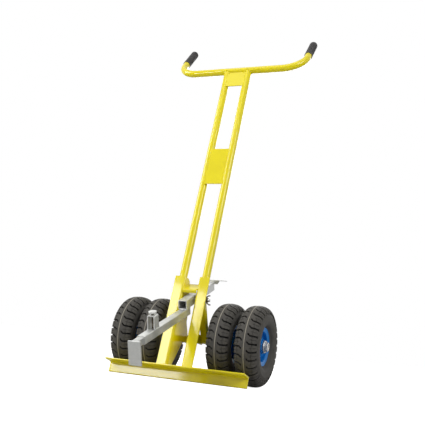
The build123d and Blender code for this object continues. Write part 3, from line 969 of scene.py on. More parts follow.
    def build(self, bench: Bench) -> None:
        """Adds the frame's pieces.

        Args:
            bench: Where the pieces are made.
        """
        bench.dress("toe_bar", self.toe_bar().placed(FRAME), "frame", Coat.YELLOW)
        bench.dress_pair("upright", self.upright().placed(FRAME), "frame", Coat.YELLOW)
        bench.dress_pair("cheek", self.cheek().placed(FRAME), "frame", Coat.YELLOW)
        bench.dress("top_plate", self.top_plate().placed(self.cover_place()), "frame", Coat.YELLOW)
        bench.dress_pair("strut", self.strut().placed(self.strut_place()), "frame", Coat.YELLOW)
        bench.add("frame_welds", self.welds(), "frame", Coat.YELLOW)


@dataclass
class Handle:
    """Handle tubes, handlebar, grips and the plates between the tubes."""

    tube_y: float = -100.0
    tube_x: float = 41.5
    tube_radius: float = 13.45
    tube_wall: float = 2.0
    foot_z: float = 140.0
    tube_tuck: float = 6.0
    bar_z: float = 1048.0
    bar_bend: float = 84.0
    bar_half: float = 258.0
    bar_end: float = 199.0
    bend_steps: int = 28
    grip_start: float = 98.0
    grip_length: float = 107.0
    grip_radius: float = 15.6
    grip_rib: float = 1.4
    grip_ribs: int = 12
    grip_collar: float = 6.0
    grip_dome: float = 12.0
    plate_face: float = -112.5
    plate_wall: float = 4.0
    plate_half: Point2 = (36.4, 31.0)
    plate_bite: float = 0.8
    mid_plate: Point2 = (540.5, 686.0)
    gusset: Point2 = (969.55, 1033.05)
    neck_bead: float = 1.9
    neck_ripples: int = 16

    def tube(self) -> Surface:
        """The right-hand handle tube, which ends inside the handlebar's wall.

        Returns:
            The surface, in FRAME.
        """
        r, top = self.tube_radius, self.bar_z - self.tube_tuck
        tube = ring(r, r - self.tube_wall, self.foot_z, top, Along.Z)
        return tube.placed(Place((self.tube_x, self.tube_y, 0.0)))

    def handlebar(self) -> Surface:
        """The bent tube: a circle carried along a U whose two corners are rounded.

        Returns:
            The surface, in BAR.
        """
        half, end = self.bar_half, self.bar_end
        corners = [(-half, end), (-half, 0.0), (half, 0.0), (half, end)]
        path = rounded(corners, self.bar_bend, self.bend_steps, closed=False)
        angle, level = circle(ROUND_STEPS)[:, None], np.zeros((len(path.points), 1))
        out = np.concatenate([path.normals, level], 1)
        around = np.cos(angle) * out[:, None] + np.sin(angle) * np.array([0.0, 0.0, 1.0])
        heart = np.concatenate([path.points, level], 1)
        return lattice(heart[:, None] + self.tube_radius * around, around, (False, True))

    def grip(self) -> Surface:
        """The right-hand sleeve: a ribbed profile with a domed end, turned about its own axis.

        In each pitch the profile runs along a crest, drops to a valley and rises again.

        Returns:
            The surface, in BAR.
        """
        r, start, end = self.grip_radius, self.grip_start, self.grip_start + self.grip_length
        pitch = (self.grip_length - self.grip_collar - self.grip_dome) / self.grip_ribs
        crest = end - self.grip_dome - pitch * np.arange(self.grip_ribs)[:, None]
        turns, level = np.array([0.0, 0.3, 0.45, 0.85]), r - self.grip_rib * np.array([0.0, 0.0, 1.0, 1.0])
        ribs = np.stack(np.broadcast_arrays(crest - turns * pitch, level), -1).reshape(-1, 2)
        corners = [(end, HEART), (end, r - 5.0), (end - 3.0, r - 1.6), (end - 7.0, r), *map(tuple, ribs),
                   (start + self.grip_collar, r), (start, r), (start, self.tube_radius)]
        sleeve = lathe(rounded(corners, 0.6, 3, closed=False), Along.Y, closed=False)
        return sleeve.placed(Place((self.bar_half, 0.0, 0.0)))

    def web(self, low: float, high: float) -> Surface:
        """A flat plate in the front hollow between the tubes.

        Its width shrinks in step with depth, so that its sides stay in the tubes' round walls.

        Args:
            low: Its lower edge.
            high: Its upper edge.

        Returns:
            The surface.
        """
        front, back = self.plate_half
        half = front + self.plate_bite
        outline = rounded([(low, -half), (high, -half), (high, half), (low, half)], 1.2)
        plate = prism(outline, self.plate_face, self.plate_face + self.plate_wall, Along.Y, 0.6)
        share = (plate.points[:, 1] - self.plate_face) / self.plate_wall
        plate.points[:, 0] *= 1.0 - share * (1.0 - back / front)
        return plate

    def welds(self) -> Surface:
        """Beads down both sides of the plates, front and rear, and a tack in the gusset's corner.

        Returns:
            The surface, in FRAME.
        """
        (front, back), face, top = self.plate_half, self.plate_face, self.gusset[1]
        lines = ((front - 0.3, face + 0.2, 1.3), (back - 0.4, face + self.plate_wall + 0.3, WELD_RADIUS))
        sides = [bead((x, y, low + 2.0), (x, y, high - 2.0), radius)
                 for x, y, radius in lines for low, high in (self.mid_plate, self.gusset)]
        tack = bead((front - 1.0, face - 0.5, top + 3.5), (front - 7.5, face, top - 3.5), self.neck_bead)
        return both_sides(Surface.joined([*sides, tack]))

    def necks(self) -> Surface:
        """The beads round the tops of the tubes, each along the line where tube meets bar.

        At an angle t round the tube the joint lies at bar_z - sqrt(R R - (R cos t) squared).

        Returns:
            The surface, in FRAME.
        """
        angle, r = circle(2 * ROUND_STEPS), self.tube_radius
        depth = np.sqrt(np.maximum(r * r - (r * np.cos(angle)) ** 2, 0.0))
        wide = r + 0.2
        heart = np.stack([self.tube_x + wide * np.sin(angle), self.tube_y + wide * np.cos(angle),
                          self.bar_z - depth - 0.3], -1)
        ahead = np.roll(heart, -1, 0) - np.roll(heart, 1, 0)
        ahead /= np.linalg.norm(ahead, axis=1)[:, None]
        side = np.stack([np.sin(angle), np.cos(angle), np.zeros_like(angle)], -1)
        thick = self.neck_bead * rippled(angle * self.neck_ripples)
        return both_sides(welded(heart, side, np.cross(ahead, side), thick, closed=True))

    def build(self, bench: Bench) -> None:
        """Adds the handle's pieces.

        Args:
            bench: Where the pieces are made.
        """
        bench.dress_pair("handle_tube", self.tube().placed(FRAME), "frame", Coat.YELLOW)
        bench.dress("handlebar", self.handlebar().placed(BAR), "frame", Coat.YELLOW)
        bench.dress_pair("grip", self.grip().placed(BAR), "frame", Coat.GRIP)
        bench.dress("mid_plate", self.web(*self.mid_plate).placed(FRAME), "frame", Coat.YELLOW)
        bench.dress("top_gusset", self.web(*self.gusset).placed(FRAME), "frame", Coat.YELLOW)
        bench.add("handle_welds", self.welds().placed(FRAME), "frame", Coat.YELLOW)
        bench.add("handle_necks", self.necks().placed(FRAME), "frame", Coat.YELLOW)


@dataclass
class PivotHardware:
    """The pivot bolt with its head, washers, bushes and wing nut."""

    bolt: float = 5.0
    head_across: float = 16.0
    head_thick: float = 6.4
    bolt_end: float = 67.0
    seat: float = 50.0
    washer: Point2 = (10.5, 2.0)
    bush: float = 9.0
    bush_span: Point2 = (15.3, 24.5)
    wing_turn: float = 29.0
    boss: Point2 = (8.5, 9.0)
    reach: float = 17.0
    spread: float = 17.0
    wing_thick: float = 3.0
    wing_root: float = 5.5
    run_gap: float = 0.3
    thread_dip: float = 0.75
    thread_tip: float = 0.72

    def bolt_surface(self) -> Surface:
        """Shank, thread and hexagon head, with the head on the left.

        Returns:
            The surface, in PIVOT.
        """
        seat, end = self.seat + self.washer[1], self.bolt_end
        thread = threaded(self.bolt, self.thread_dip, (self.seat, end), end, self.thread_tip, Along.X)
        return Surface.joined([rod(self.bolt, -seat, self.seat, Along.X, 0.2), thread,
                               hexagon(self.head_across, -seat, -seat - self.head_thick)])

    def wing_nut(self) -> Surface:
        """A tapered boss and two wings, each a rounded plate that leans away from the frame.

        Returns:
            The surface, in PIVOT turned to the wings' place.
        """
        low = self.seat + self.washer[1] + self.run_gap
        high = low + self.boss[1]
        r, bore, root, out, far = self.boss[0], self.bolt + 0.1, self.wing_root, self.reach, low + self.spread
        boss = lathe(rounded([(low, bore), (high, bore), (high, r - 1.5), (low, r)], 0.8), Along.X)
        corners = [(root, low + 1.0), (out - 5.0, low + 3.0), (out, far - 6.0), (out, far),
                   (out - 3.6, far), (out - 4.6, far - 6.5), (out - 7.5, low + 6.8), (root, low + 5.2)]
        outline = rounded(corners, [1.4, 3.0, 2.5, 1.7, 1.7, 3.0, 2.5, 1.4], 6)
        wing = prism(outline, -self.wing_thick / 2, self.wing_thick / 2, Along.Y, 1.3)
        half_turn = Place(tilt=180.0)
        return Surface.joined([boss, wing, wing.placed(half_turn)])

    def build(self, bench: Bench) -> None:
        """Adds the pivot's pieces.

        Args:
            bench: Where the pieces are made.
        """
        bench.dress("pivot_bolt", self.bolt_surface().placed(PIVOT), "frame", Coat.STEEL)
        (radius, thick), bore, edge = self.washer, self.bolt + 0.05, 0.4
        washer = ring(radius, bore, self.seat, self.seat + thick, Along.X, edge)
        bench.dress_pair("pivot_washer", washer.placed(PIVOT), "frame", Coat.STEEL)
        bush = ring(self.bush, bore, *self.bush_span, Along.X, edge)
        bench.dress_pair("pivot_bush", bush.placed(PIVOT), "frame", Coat.STEEL)
        bench.dress("wing_nut", self.wing_nut().placed(PIVOT.moved(tilt=self.wing_turn)), "wing", Coat.DARK)


@dataclass
class AxleHardware:
    """The axle with its collars, spacers, washers and nuts."""

    axle: float = 10.0
    half: float = 259.0
    bore: float = 10.05
    collar: tuple[float, float, float] = (16.0, 81.7, 93.7)
    spacer: tuple[float, float, float] = (14.0, 156.3, 189.7)
    washer: tuple[float, float, float] = (17.0, 252.3, 254.8)
    nut: tuple[float, float, float] = (27.0, 254.8, 260.3)
    paint: Point2 = (10.2, 9.95)

    def build(self, bench: Bench) -> None:
        """Adds the axle's pieces.

        Args:
            bench: Where the pieces are made.
        """
        bench.dress("axle", rod(self.axle, -self.half, self.half, Along.X).placed(AXLE), "frame", Coat.STEEL)
        for name, (radius, low, high) in (("axle_collar", self.collar), ("wheel_spacer", self.spacer),
                                          ("axle_washer", self.washer)):
            sleeve = ring(radius, self.bore, low, high, Along.X, 0.7)
            bench.dress_pair(name, sleeve.placed(AXLE), "frame", Coat.STEEL)
        paint = ring(*self.paint, -self.collar[1], self.collar[1], Along.X, 0.05)
        bench.add("axle_paint", paint.placed(AXLE), "frame", Coat.YELLOW)
        across, low, high = self.nut
        bench.dress_pair("axle_nut", hexagon(across, low, high, self.bore).placed(AXLE), "frame", Coat.STEEL)


@dataclass
class Wheel:
    """One wheel: a treaded tyre, two pressed rim halves and a hub."""

    half_width: float = 39.0
    rim_radius: float = 62.0
    rim_seat: float = 50.0
    rim_half: float = 22.0
    rim_wall: float = 2.5
    hub_radius: float = 20.5
    hub_half: float = 31.0
    bore: float = 10.05
    grooves: int = 31
    groove_start: float = 8.0
    groove_end: float = 45.5
    groove_depth: float = 5.5
    groove_fade: Point2 = (2.0, 6.0)
    hook: float = 6.0
    lag: float = 0.28
    sipe: float = 24.0
    sipe_depth: float = 1.3
    sipe_wave: float = 1.7
    fine_depth: float = 1.4
    fine_start: Point2 = (15.0, 19.0)
    fine_end: Point2 = (39.0, 43.0)
    seam: float = 1.1
    seam_rise: float = 0.25
    shoulder: float = 3.6
    shoulder_low: float = 95.0
    side_rings: tuple[tuple[float, float, float], ...] = ((0.9, 97.0, 1.6), (1.2, 70.5, 2.0))
    places: tuple[tuple[str, float, float], ...] = (
        ("left_inner", -125.0, 4.0), ("left_outer", -221.0, 7.0),
        ("right_inner", 125.0, 9.5), ("right_outer", 221.0, 4.6))

    def profile(self) -> tuple[Array, Array, Array]:
        """The tyre's section from the right bead over the crown to the left bead.

        A cubic with slopes from its neighbours runs through the section's knots.

        Returns:
            Signed distance from the crown along the section, the points as (x, radius), and
            the outward normals.
        """
        wide = self.half_width
        right = np.array([(self.rim_half, self.rim_radius + 0.5), (wide - 2.0, 76.0), (wide, 94.0),
                          (wide - 1.0, 108.0), (wide - 4.1, 116.0), (wide - 9.1, 122.0), (14.0, 129.0)])
        knots = np.concatenate([right, [(0.0, WHEEL_RADIUS)], right[::-1] * (-1.0, 1.0)])
        along = np.concatenate([[0.0], np.cumsum(np.linalg.norm(np.diff(knots, axis=0), axis=1))])
        slope = np.gradient(knots, along, axis=0)
        crown = along[len(right)]
        start, end = self.groove_start, self.groove_end
        far = np.concatenate([
            [0.0, self.seam, self.seam + 0.5, 3.0, 5.0, start - 0.7, start + 0.8],
            np.arange(start + 2.4, self.sipe - 1.5, 1.7), self.sipe + np.array([-0.9, -0.4, 0.4, 0.9]),
            np.arange(self.sipe + 2.2, end - 1.0, 1.7), end + np.array([0.0, 0.6, 1.2, 2.6, 4.4]),
            np.arange(end + 6.2, crown - 1.0, 2.0), [crown]])
        s = np.concatenate([far[::-1], -far[1:]])
        where = np.clip(crown - s, 0.0, along[-1])
        k = np.clip(np.searchsorted(along, where, side="right") - 1, 0, len(along) - 2)
        span = along[k + 1] - along[k]
        t = ((where - along[k]) / span)[:, None]
        span = span[:, None]
        points = ((2 * t ** 3 - 3 * t ** 2 + 1) * knots[k] + (t ** 3 - 2 * t ** 2 + t) * span * slope[k]
                  + (3 * t ** 2 - 2 * t ** 3) * knots[k + 1] + (t ** 3 - t ** 2) * span * slope[k + 1])
        ahead = np.gradient(points, axis=0)
        ahead /= np.linalg.norm(ahead, axis=1)[:, None]
        return s, points, np.stack([ahead[:, 1], -ahead[:, 0]], 1)

    def tread(self, s: Array) -> tuple[Array, Array, Array]:
        """The tread's relief over a grid of the section's rows and the tyre's columns.

        Each pitch has columns at the lips, the floor's edges and the middle of a groove, for
        the right side at its start and for the left side at its half. A groove swings away
        from the crown in a hook, opens at both ends and is narrow between them. The middle
        column of the other side's groove gives each block a fine cut, and a ring of such a cut
        runs round the tyre in a wave.

        Args:
            s: Signed distances from the crown, by row.

        Returns:
            The columns' angles, the depth, and the shift along the section, rows by columns.
        """
        far = np.abs(s)
        u = np.clip((far - self.groove_start) / (self.groove_end - self.groove_start), 0.0, 1.0)

        def ease(value: Array, low: float, high: float) -> Array:
            """Rises smoothly from 0 at low to 1 at high."""
            t = np.clip((value - low) / (high - low), 0.0, 1.0)
            return t * t * (3.0 - 2.0 * t)

        lips = np.array([-0.2, -0.105, -0.07, 0.0, 0.07, 0.105, 0.2])
        floor = np.array([0.0, 0.0, 1.0, 1.0, 1.0, 0.0, 0.0])
        blank = np.zeros_like(lips)
        widen = 0.25 * np.exp(-((u / 0.14) ** 2)) + 0.1 + 0.7 * ease(u, 0.72, 1.0)
        swing = self.hook * (ease(u, 0.0, 0.24) - 0.1 * ease(u, 0.5, 0.95)) * np.sign(s)
        free = np.where(np.abs(lips) < 0.15, lips, 0.0)
        turns = (np.arange(self.grooves)[:, None] + np.concatenate([lips, lips + 0.5])).reshape(-1)
        phase = turns + np.tile(free, 2 * self.grooves) * widen[:, None]
        phase = phase + self.lag * ease(-s, -6.0, 6.0)[:, None]
        angle = math.pi / 2 + phase * FULL_TURN / self.grooves + (swing / WHEEL_RADIUS)[:, None]
        right = np.tile(np.concatenate([floor, blank]), self.grooves)
        left = np.tile(np.concatenate([blank, floor]), self.grooves)
        middle = np.tile(np.concatenate([lips, lips]) == 0.0, self.grooves)
        mine, other = np.where(s[:, None] > 0, right, left), np.where(s[:, None] > 0, left, right)
        deep = ease(far, self.groove_start - 0.8, self.groove_start + 0.9)
        deep = deep * (1 - ease(far - self.groove_end, *self.groove_fade))
        deep = self.groove_depth * deep * (1.0 + 0.35 * ease(u, 0.65, 1.0))
        fine = self.fine_depth * ease(far, *self.fine_start) * (1 - ease(far, *self.fine_end))
        ring_cut = self.sipe_depth * (np.abs(far - self.sipe) < 0.6)
        depth = np.maximum(deep[:, None] * mine, fine[:, None] * other * middle)
        depth = np.maximum(depth, ring_cut[:, None])
        near = np.exp(-(((far - self.sipe) / 3.0) ** 2))[:, None]
        shift = near * self.sipe_wave * np.cos(FULL_TURN * turns)
        return angle, depth, shift

    def tyre(self) -> Surface:
        """The tyre: its section turned about X and pressed in along the tread.

        The section is lifted along its normal by the seam and the side's moulded rings, sinks
        a little past the tread's edge, and is cut by the tread's depth.

        Returns:
            The surface, with a mark for the painted shade in its grooves and a mark for its seam.
        """
        s, section, normal = self.profile()
        angle, dig, shift = self.tread(s)
        far, radius = np.abs(s), section[:, 1]
        seam = (far < self.seam + 0.1).astype(float)
        rings = sum(rise * np.exp(-(((radius - at) / wide) ** 2)) for rise, at, wide in self.side_rings)
        step = np.clip((far - self.groove_end - 0.5) / 0.8, 0.0, 1.0)
        step = step * np.clip((radius - self.shoulder_low) / 12.0, 0.0, 1.0)
        out = (self.seam_rise * seam + rings)[:, None] - np.maximum(dig, (self.shoulder * step)[:, None])
        x = section[:, :1] + normal[:, :1] * out + normal[:, 1:] * shift
        r = section[:, 1:] + normal[:, 1:] * out - normal[:, :1] * shift
        points = np.stack([x, r * np.cos(angle), r * np.sin(angle)], -1)
        ends = np.array([(-self.rim_half, self.rim_radius), (-self.rim_half + self.rim_wall, self.rim_seat),
                         (self.rim_half - self.rim_wall, self.rim_seat), (self.rim_half, self.rim_radius)])
        flat = np.broadcast_to(angle[-1], (len(ends), angle.shape[1]))
        bed = np.stack([np.broadcast_to(ends[:, :1], flat.shape), ends[:, 1:] * np.cos(flat),
                        ends[:, 1:] * np.sin(flat)], -1)
        tyre = lattice(np.concatenate([points, bed]), None, (True, True))
        blank = np.zeros(bed.shape[:2])
        # Painted shade in the grooves: the mark grows with the depth of the cut.
        groove_shade = np.clip(dig / (0.7 * self.groove_depth), 0.0, 1.0)
        tyre.marks = {"groove_shade": np.concatenate([groove_shade, blank]).reshape(-1),
                      "seam": np.concatenate([np.broadcast_to(seam[:, None], dig.shape), blank]).reshape(-1)}
        return tyre

    def rim(self) -> Surface:
        """The pressed dish on the right: its section with rounded bends, turned about X.

        Returns:
            The surface, about the wheel's middle.
        """
        inside, collar = self.rim_seat - self.rim_wall, self.hub_radius + 0.05
        seat, half, lip = self.rim_seat, self.rim_half, self.rim_radius
        corners = [(0.05, inside - 0.5), (0.05, seat), (half - self.rim_wall, seat), (half, lip),
                   (half + 2.2, lip), (half - 0.4, inside), (9.0, inside), (6.0, inside - 1.2),
                   (5.0, inside - 4.0),
                   (17.0, collar + 5.0), (20.0, collar + 2.5), (24.0, collar + 2.5), (24.0, collar),
                   (18.5, collar), (14.5, collar + 4.0), (2.0, inside - 4.0)]
        return lathe(rounded(corners, 2.5, 5), Along.X, steps=96)

    def hub(self) -> Surface:
        """The sleeve on the axle, with its ends turned to a chamfer.

        Returns:
            The surface, about the wheel's middle.
        """
        r, half, cut = self.hub_radius, self.hub_half, 1.6
        corners = [(-half, self.bore), (half, self.bore), (half, r - cut), (half - cut, r), (cut - half, r),
                   (-half, r - cut)]
        return lathe(rounded(corners, 0.5, 3), Along.X, steps=72)

    def build(self, bench: Bench) -> None:
        """Adds all four wheels.

        Args:
            bench: Where the pieces are made.
        """
        tyre, rim, hub = self.tyre(), self.rim(), self.hub()
        for name, offset, turn in self.places:
            body, place = f"{name}_wheel", AXLE.moved(x=offset)
            bench.dress(f"{name}_tyre", tyre.placed(AXLE.moved(x=offset, tilt=turn)), body, Coat.TYRE)
            bench.dress(f"{name}_rim_right", rim.placed(place), body, Coat.BLUE)
            bench.dress(f"{name}_rim_left", rim.mirrored().placed(place), body, Coat.BLUE)
            bench.dress(f"{name}_hub", hub.placed(place), body, Coat.STEEL)


@dataclass
class RockerArm:
    """The rocker tube with its pedal, the arm tube and the bridge for the lock screw."""

    tube: Point2 = (30.0, 3.0)
    tube_span: Point2 = (-70.0, 167.0)
    arm: Point2 = (25.0, 2.0)
    arm_span: Point2 = (-283.0, 32.0)
    rounds: Point2 = (3.0, 1.2)
    rib_span: Point2 = (7.7, 20.0)
    rib_wall: float = 4.0
    rib_half: Point2 = (27.0, 36.0)
    pedal_tilt: float = 16.0
    pedal_depth: float = 48.0
    pedal_half: float = 50.0
    pedal_wall: float = 3.0
    bridge_y: float = -206.0
    bridge_depth: Point2 = (30.0, 26.0)
    bridge_half: float = 12.0
    bridge_height: float = 41.0
    bridge_wall: float = 3.0

    def rib(self) -> Surface:
        """The cross rib on the tube's rear end: its upright outline through its thickness.

        Returns:
            The surface, in ROCKER.
        """
        low, high = self.rib_span
        narrow, broad = self.rib_half
        back = self.tube_span[1]
        outline = rounded([(low, -narrow), (low, narrow), (high, broad), (high, -broad)], 1.0)
        return prism(outline, back, back + self.rib_wall, Along.Y, 0.5)

    def foot_plate(self) -> Surface:
        """The pedal: a flat plate that widens to its rounded rear corners.

        Returns:
            The surface, in the pedal's own frame.
        """
        front, rear, deep = self.rib_half[1], self.pedal_half, self.pedal_depth
        outline = rounded([(-front, 0.0), (front, 0.0), (rear, deep), (-rear, deep)], [1.5, 1.5, 6.0, 6.0], 6)
        return prism(outline, 0.0, self.pedal_wall, Along.Z, 0.8)

    def bridge(self) -> Surface:
        """The inverted U of flat strip, a little narrower toward its top.

        The U's section is carried along the arm, and each end is pulled in with height.

        Returns:
            The surface, in ARM.
        """
        half, high, wall = self.bridge_half, self.bridge_height, self.bridge_wall
        inner = half - wall
        corners = [(0.0, half), (high, half), (high, -half), (0.0, -half), (0.0, -inner),
                   (high - wall, -inner), (high - wall, inner), (0.0, inner)]
        outline = rounded(corners, [0.4, 3.5, 3.5, 0.4, 0.4, 1.0, 1.0, 0.4], 5)
        base, top = self.bridge_depth
        strip = prism(outline, -1.0, 1.0, Along.Y, 0.03)
        depth = (base + (top - base) * strip.points[:, 2] / high) / 2
        strip.points[:, 1] = self.bridge_y + strip.points[:, 1] * depth
        return strip

    def welds(self) -> Surface:
        """Beads where the arm, the bridge and the rib stand on their tubes.

        Returns:
            The surface, in the shared frame.
        """
        side, foot = self.arm[0] / 2 + 0.2, self.bridge_half + 0.2
        front = self.bridge_y - self.bridge_depth[0] / 2
        on_arm = [bead((side, 1.0, 0.2), (side, 30.0, -0.3), 1.9),
                  bead((foot, front, 0.1), (foot, front + self.bridge_depth[0], 0.1), 1.6)]
        lip = bead((-11.5, -0.6, 0.6), (11.5, -0.6, 0.6), 2.0)
        end, seat = self.tube_span[1] - 0.2, self.tube[0] / 2 + 0.2
        under, high = self.tube_span[1] + self.rib_wall + 0.2, self.rib_span[1] - 1.4
        ribs = [bead((-14.0, end, seat), (14.0, end, seat), 1.6),
                bead((-33.0, under, high), (33.0, under, high), 1.4)]
        return Surface.joined([both_sides(Surface.joined(on_arm)).placed(ARM), lip.placed(ARM),
                               *(part.placed(ROCKER) for part in ribs)])

    def build(self, bench: Bench) -> None:
        """Adds the rocker's pieces.

        Args:
            bench: Where the pieces are made.
        """
        tube = box_tube(self.tube, self.tube_span, self.rounds)
        bench.dress("rocker_tube", tube.placed(ROCKER), "rocker", Coat.ZINC)
        arm = box_tube(self.arm, self.arm_span, self.rounds, (-self.arm[0] / 2, 0.0))
        bench.dress("arm_tube", arm.placed(ARM), "rocker", Coat.ZINC)
        bench.dress("pedal_rib", self.rib().placed(ROCKER), "rocker", Coat.ZINC)
        seat = ROCKER.moved(y=self.tube_span[1], z=self.rib_span[1], tilt=-self.pedal_tilt)
        bench.dress("foot_plate", self.foot_plate().placed(seat), "rocker", Coat.ZINC)
        bench.dress("screw_bridge", self.bridge().placed(ARM), "rocker", Coat.ZINC)
        bench.add("rocker_welds", self.welds(), "rocker", Coat.ZINC)
        bench.coat("pivot_sleeve", Coat.ZINC)


@dataclass
class ClampEnd:
    """The inner arm with its clamp plate, and the screw that locks it."""

    inner: Point2 = (20.4, 2.0)
    inner_span: Point2 = (-318.0, -100.0)
    inner_rounds: Point2 = (2.2, 1.0)
    axis_z: float = -12.5
    face_y: float = -324.0
    wall: float = 6.0
    width: float = 40.0
    height: float = 71.0
    top_z: float = -2.3
    bead: float = 0.65
    screw_y: float = -206.0
    screw: float = 4.5
    screw_span: Point2 = (-2.0, 46.0)
    thread_dip: float = 0.7
    thread_tip: float = 0.75
    disc: Point2 = (12.5, 6.0)

    def plate(self) -> Surface:
        """The clamp plate: its front outline through its thickness.

        Returns:
            The surface, in ARM.
        """
        half, low = self.width / 2, self.top_z - self.height
        outline = rounded([(low, -half), (self.top_z, -half), (self.top_z, half), (low, half)], 2.0, 5)
        return prism(outline, self.face_y, self.face_y + self.wall, Along.Y, 0.9)

    def welds(self) -> Surface:
        """Beads round the inner arm where it meets the plate.

        Returns:
            The surface, in ARM.
        """
        y, half = self.face_y + self.wall, self.inner[0] / 2 + 0.1
        low, high = self.axis_z - half, self.axis_z + half - 1.0
        return Surface.joined([bead((half, y, low), (half, y, high), self.bead),
                               bead((-half, y, low), (-half, y, high), self.bead),
                               bead((-half, y, low), (half, y, low), self.bead)])

    def stem(self) -> Surface:
        """The screw's threaded stem, in the lock's frame, with its tip in the arm's top wall."""
        span = self.screw_span
        return threaded(self.screw, self.thread_dip, span, span[0], self.thread_tip, Along.Z)

    def head(self) -> Surface:
        """The disc head: a turned button with a shallow dimple round its middle.

        Returns:
            The surface, in the lock's frame.
        """
        low = self.screw_span[1]
        r, high = self.disc[0], low + self.disc[1]
        dimple = high - 0.7
        corners = [(dimple, HEART), (dimple, r - 5.0), (high, r - 3.6), (high, r), (low, r), (low, HEART)]
        outline = rounded(corners, [0.5, 2.0, 1.2, 1.5, 1.5, 0.5], 5, closed=False)
        return lathe(outline, Along.Z, closed=False)

    def build(self, bench: Bench) -> None:
        """Adds the clamp's and the screw's pieces.

        Args:
            bench: Where the pieces are made.
        """
        inner = box_tube(self.inner, self.inner_span, self.inner_rounds, (self.axis_z, 0.0))
        bench.dress("inner_arm", inner.placed(ARM), "clamp", Coat.ZINC)
        bench.dress("clamp_plate", self.plate().placed(ARM), "clamp", Coat.ZINC)
        bench.add("clamp_welds", self.welds().placed(ARM), "clamp", Coat.ZINC)
        lock = ARM.moved(y=self.screw_y)
        bench.dress("lock_screw", self.stem().placed(lock), "lock", Coat.DARK)
        bench.dress("lock_disc", self.head().placed(lock), "lock", Coat.ZINC)


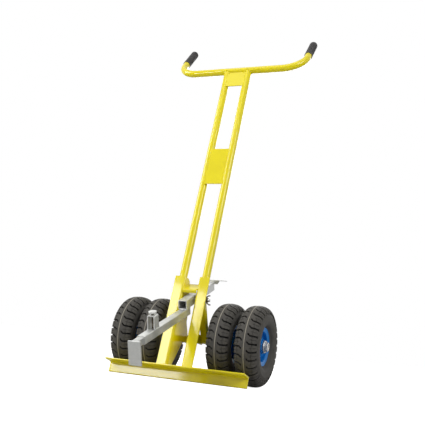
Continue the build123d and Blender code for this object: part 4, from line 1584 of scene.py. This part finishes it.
@dataclass
class Studio:
    """Floor, light and camera; lengths here are metres."""

    camera: Point3 = (0.89005, -1.99847, 0.66670)
    azimuth: float = 22.40
    pitch: float = 2.782
    tip: float = 15.01
    lens: float = 55.47
    sensor: float = 36.0
    ambient: float = 0.1
    floor_half: float = 14.0
    floor_grey: float = 0.6
    floor_rough: float = 0.9
    floor_glow: float = 0.88
    lamps: tuple[tuple[str, Point3, Point3, Point2, float], ...] = (
        ("key", (-1.2, -2.0, 1.2), (0.0, 0.0, 0.22), (0.5, 0.76), 15.0),
        ("wash", (-2.3, -0.9, 2.2), (0.0, 0.0, 0.4), (1.4, 1.4), 50.0),
        ("fill", (2.15, -1.0, 1.9), (0.0, 0.0, 0.3), (1.4, 1.4), 38.0),
        ("top", (0.0, -0.9, 3.2), (0.0, 0.0, 0.4), (2.0, 2.0), 19.0),
        ("rear", (-0.5, 2.7, 1.7), (0.0, 0.0, 0.5), (1.6, 1.6), 34.0))

    @staticmethod
    def hang(name: str, data: bpy.types.Camera | bpy.types.Light, axes: Array) -> bpy.types.Object:
        """Links a camera or a lamp.

        Args:
            name: Its name.
            data: What it holds.
            axes: Its X, Y and Z axes and its place, as the columns of a 3 by 4 array.

        Returns:
            The linked object.
        """
        thing = bpy.data.objects.new(name, data)
        thing.matrix_world = Matrix([*axes.tolist(), [0.0, 0.0, 0.0, 1.0]])
        bpy.context.scene.collection.objects.link(thing)
        return thing

    def view(self) -> None:
        """Sets the camera: it stands as for a trolley tipped back to roll, and tips with it."""
        a, e = math.radians(self.azimuth), math.radians(self.pitch)
        right = np.array([math.cos(a), math.sin(a), 0.0])
        ahead = np.array([-math.sin(a) * math.cos(e), math.cos(a) * math.cos(e), -math.sin(e)])
        tip = Place(tilt=self.tip)
        stand = np.array(self.camera) - (0.0, 0.0, WHEEL_RADIUS * METRES)
        where = tip.turn(stand) + np.array(AXLE.origin) * METRES
        axes = np.stack([tip.turn(right), tip.turn(np.cross(right, ahead)), tip.turn(-ahead), where], 1)
        data = bpy.data.cameras.new("camera")
        data.lens = self.lens
        data.sensor_width = self.sensor
        bpy.context.scene.camera = self.hang("camera", data, axes)

    def lamp(self, name: str, where: Point3, aim: Point3, size: Point2, power: float) -> None:
        """Hangs one softbox.

        Args:
            name: Its name.
            where: Its middle.
            aim: The point that it faces.
            size: Width and height.
            power: Watts.
        """
        data = bpy.data.lights.new(name, "AREA")
        data.shape = "RECTANGLE"
        data.size, data.size_y = size
        data.energy = power
        back = np.array(where) - np.array(aim)
        back /= np.linalg.norm(back)
        right = np.cross((0.0, 0.0, 1.0), back)
        right /= np.linalg.norm(right)
        self.hang(name, data, np.stack([right, np.cross(back, right), back, np.array(where)], 1))

    def sky(self) -> None:
        """A white surround that lights the trolley softly and shows white where it is seen."""
        world = bpy.data.worlds.new("surround")
        world.use_nodes = True
        tree = world.node_tree
        tree.nodes.clear()
        output = tree.nodes.new("ShaderNodeOutputWorld")
        path = tree.nodes.new("ShaderNodeLightPath")
        seen, shown = tree.nodes.new("ShaderNodeMath"), tree.nodes.new("ShaderNodeMath")
        level = tree.nodes.new("ShaderNodeMapRange")
        light = tree.nodes.new("ShaderNodeBackground")
        seen.operation = shown.operation = "MAXIMUM"
        level.inputs["To Min"].default_value = self.ambient
        light.inputs["Color"].default_value = (1.0, 1.0, 1.0, 1.0)
        for source, target in ((path.outputs["Is Camera Ray"], seen.inputs[0]),
                               (path.outputs["Is Glossy Ray"], seen.inputs[1]),
                               (seen.outputs[0], shown.inputs[0]),
                               (path.outputs["Is Transmission Ray"], shown.inputs[1]),
                               (shown.outputs[0], level.inputs["Value"]),
                               (level.outputs[0], light.inputs["Strength"]),
                               (light.outputs[0], output.inputs["Surface"])):
            tree.links.new(source, target)
        bpy.context.scene.world = world

    def floor(self) -> None:
        """A plain white floor that keeps the trolley's shadow."""
        half = self.floor_half
        mesh = bpy.data.meshes.new("floor")
        corners = [(-half, -half, 0.0), (half, -half, 0.0), (half, half, 0.0), (-half, half, 0.0)]
        mesh.from_pydata(corners, [], [(0, 1, 2, 3)])
        white = Recipe("floor_white")
        path = white.node("ShaderNodeLightPath", output="Is Camera Ray")
        glow = white.mix(path, (0.0, 0.0, 0.0), (1.0, 1.0, 1.0))
        grey = (self.floor_grey, self.floor_grey, self.floor_grey, 1.0)
        mesh.materials.append(white.finish(Base_Color=grey, Roughness=self.floor_rough,
                                           Emission_Color=glow, Emission_Strength=self.floor_glow))
        floor = bpy.data.objects.new("floor", mesh)
        bpy.context.scene.collection.objects.link(floor)

    def build(self) -> None:
        """Sets up the whole studio."""
        bpy.context.scene.view_settings.view_transform = "Standard"
        self.view()
        self.sky()
        self.floor()
        for lamp in self.lamps:
            self.lamp(*lamp)


def main() -> None:
    """Builds the studio and every sub-assembly, and reports each piece."""
    logging.basicConfig(level=logging.INFO, format="%(name)s: %(message)s")
    Studio().build()
    bench = Bench()
    for assembly in (SteelFrame, Handle, PivotHardware, AxleHardware, Wheel, RockerArm, ClampEnd):
        assembly().build(bench)


if __name__ == "__main__":
    main()
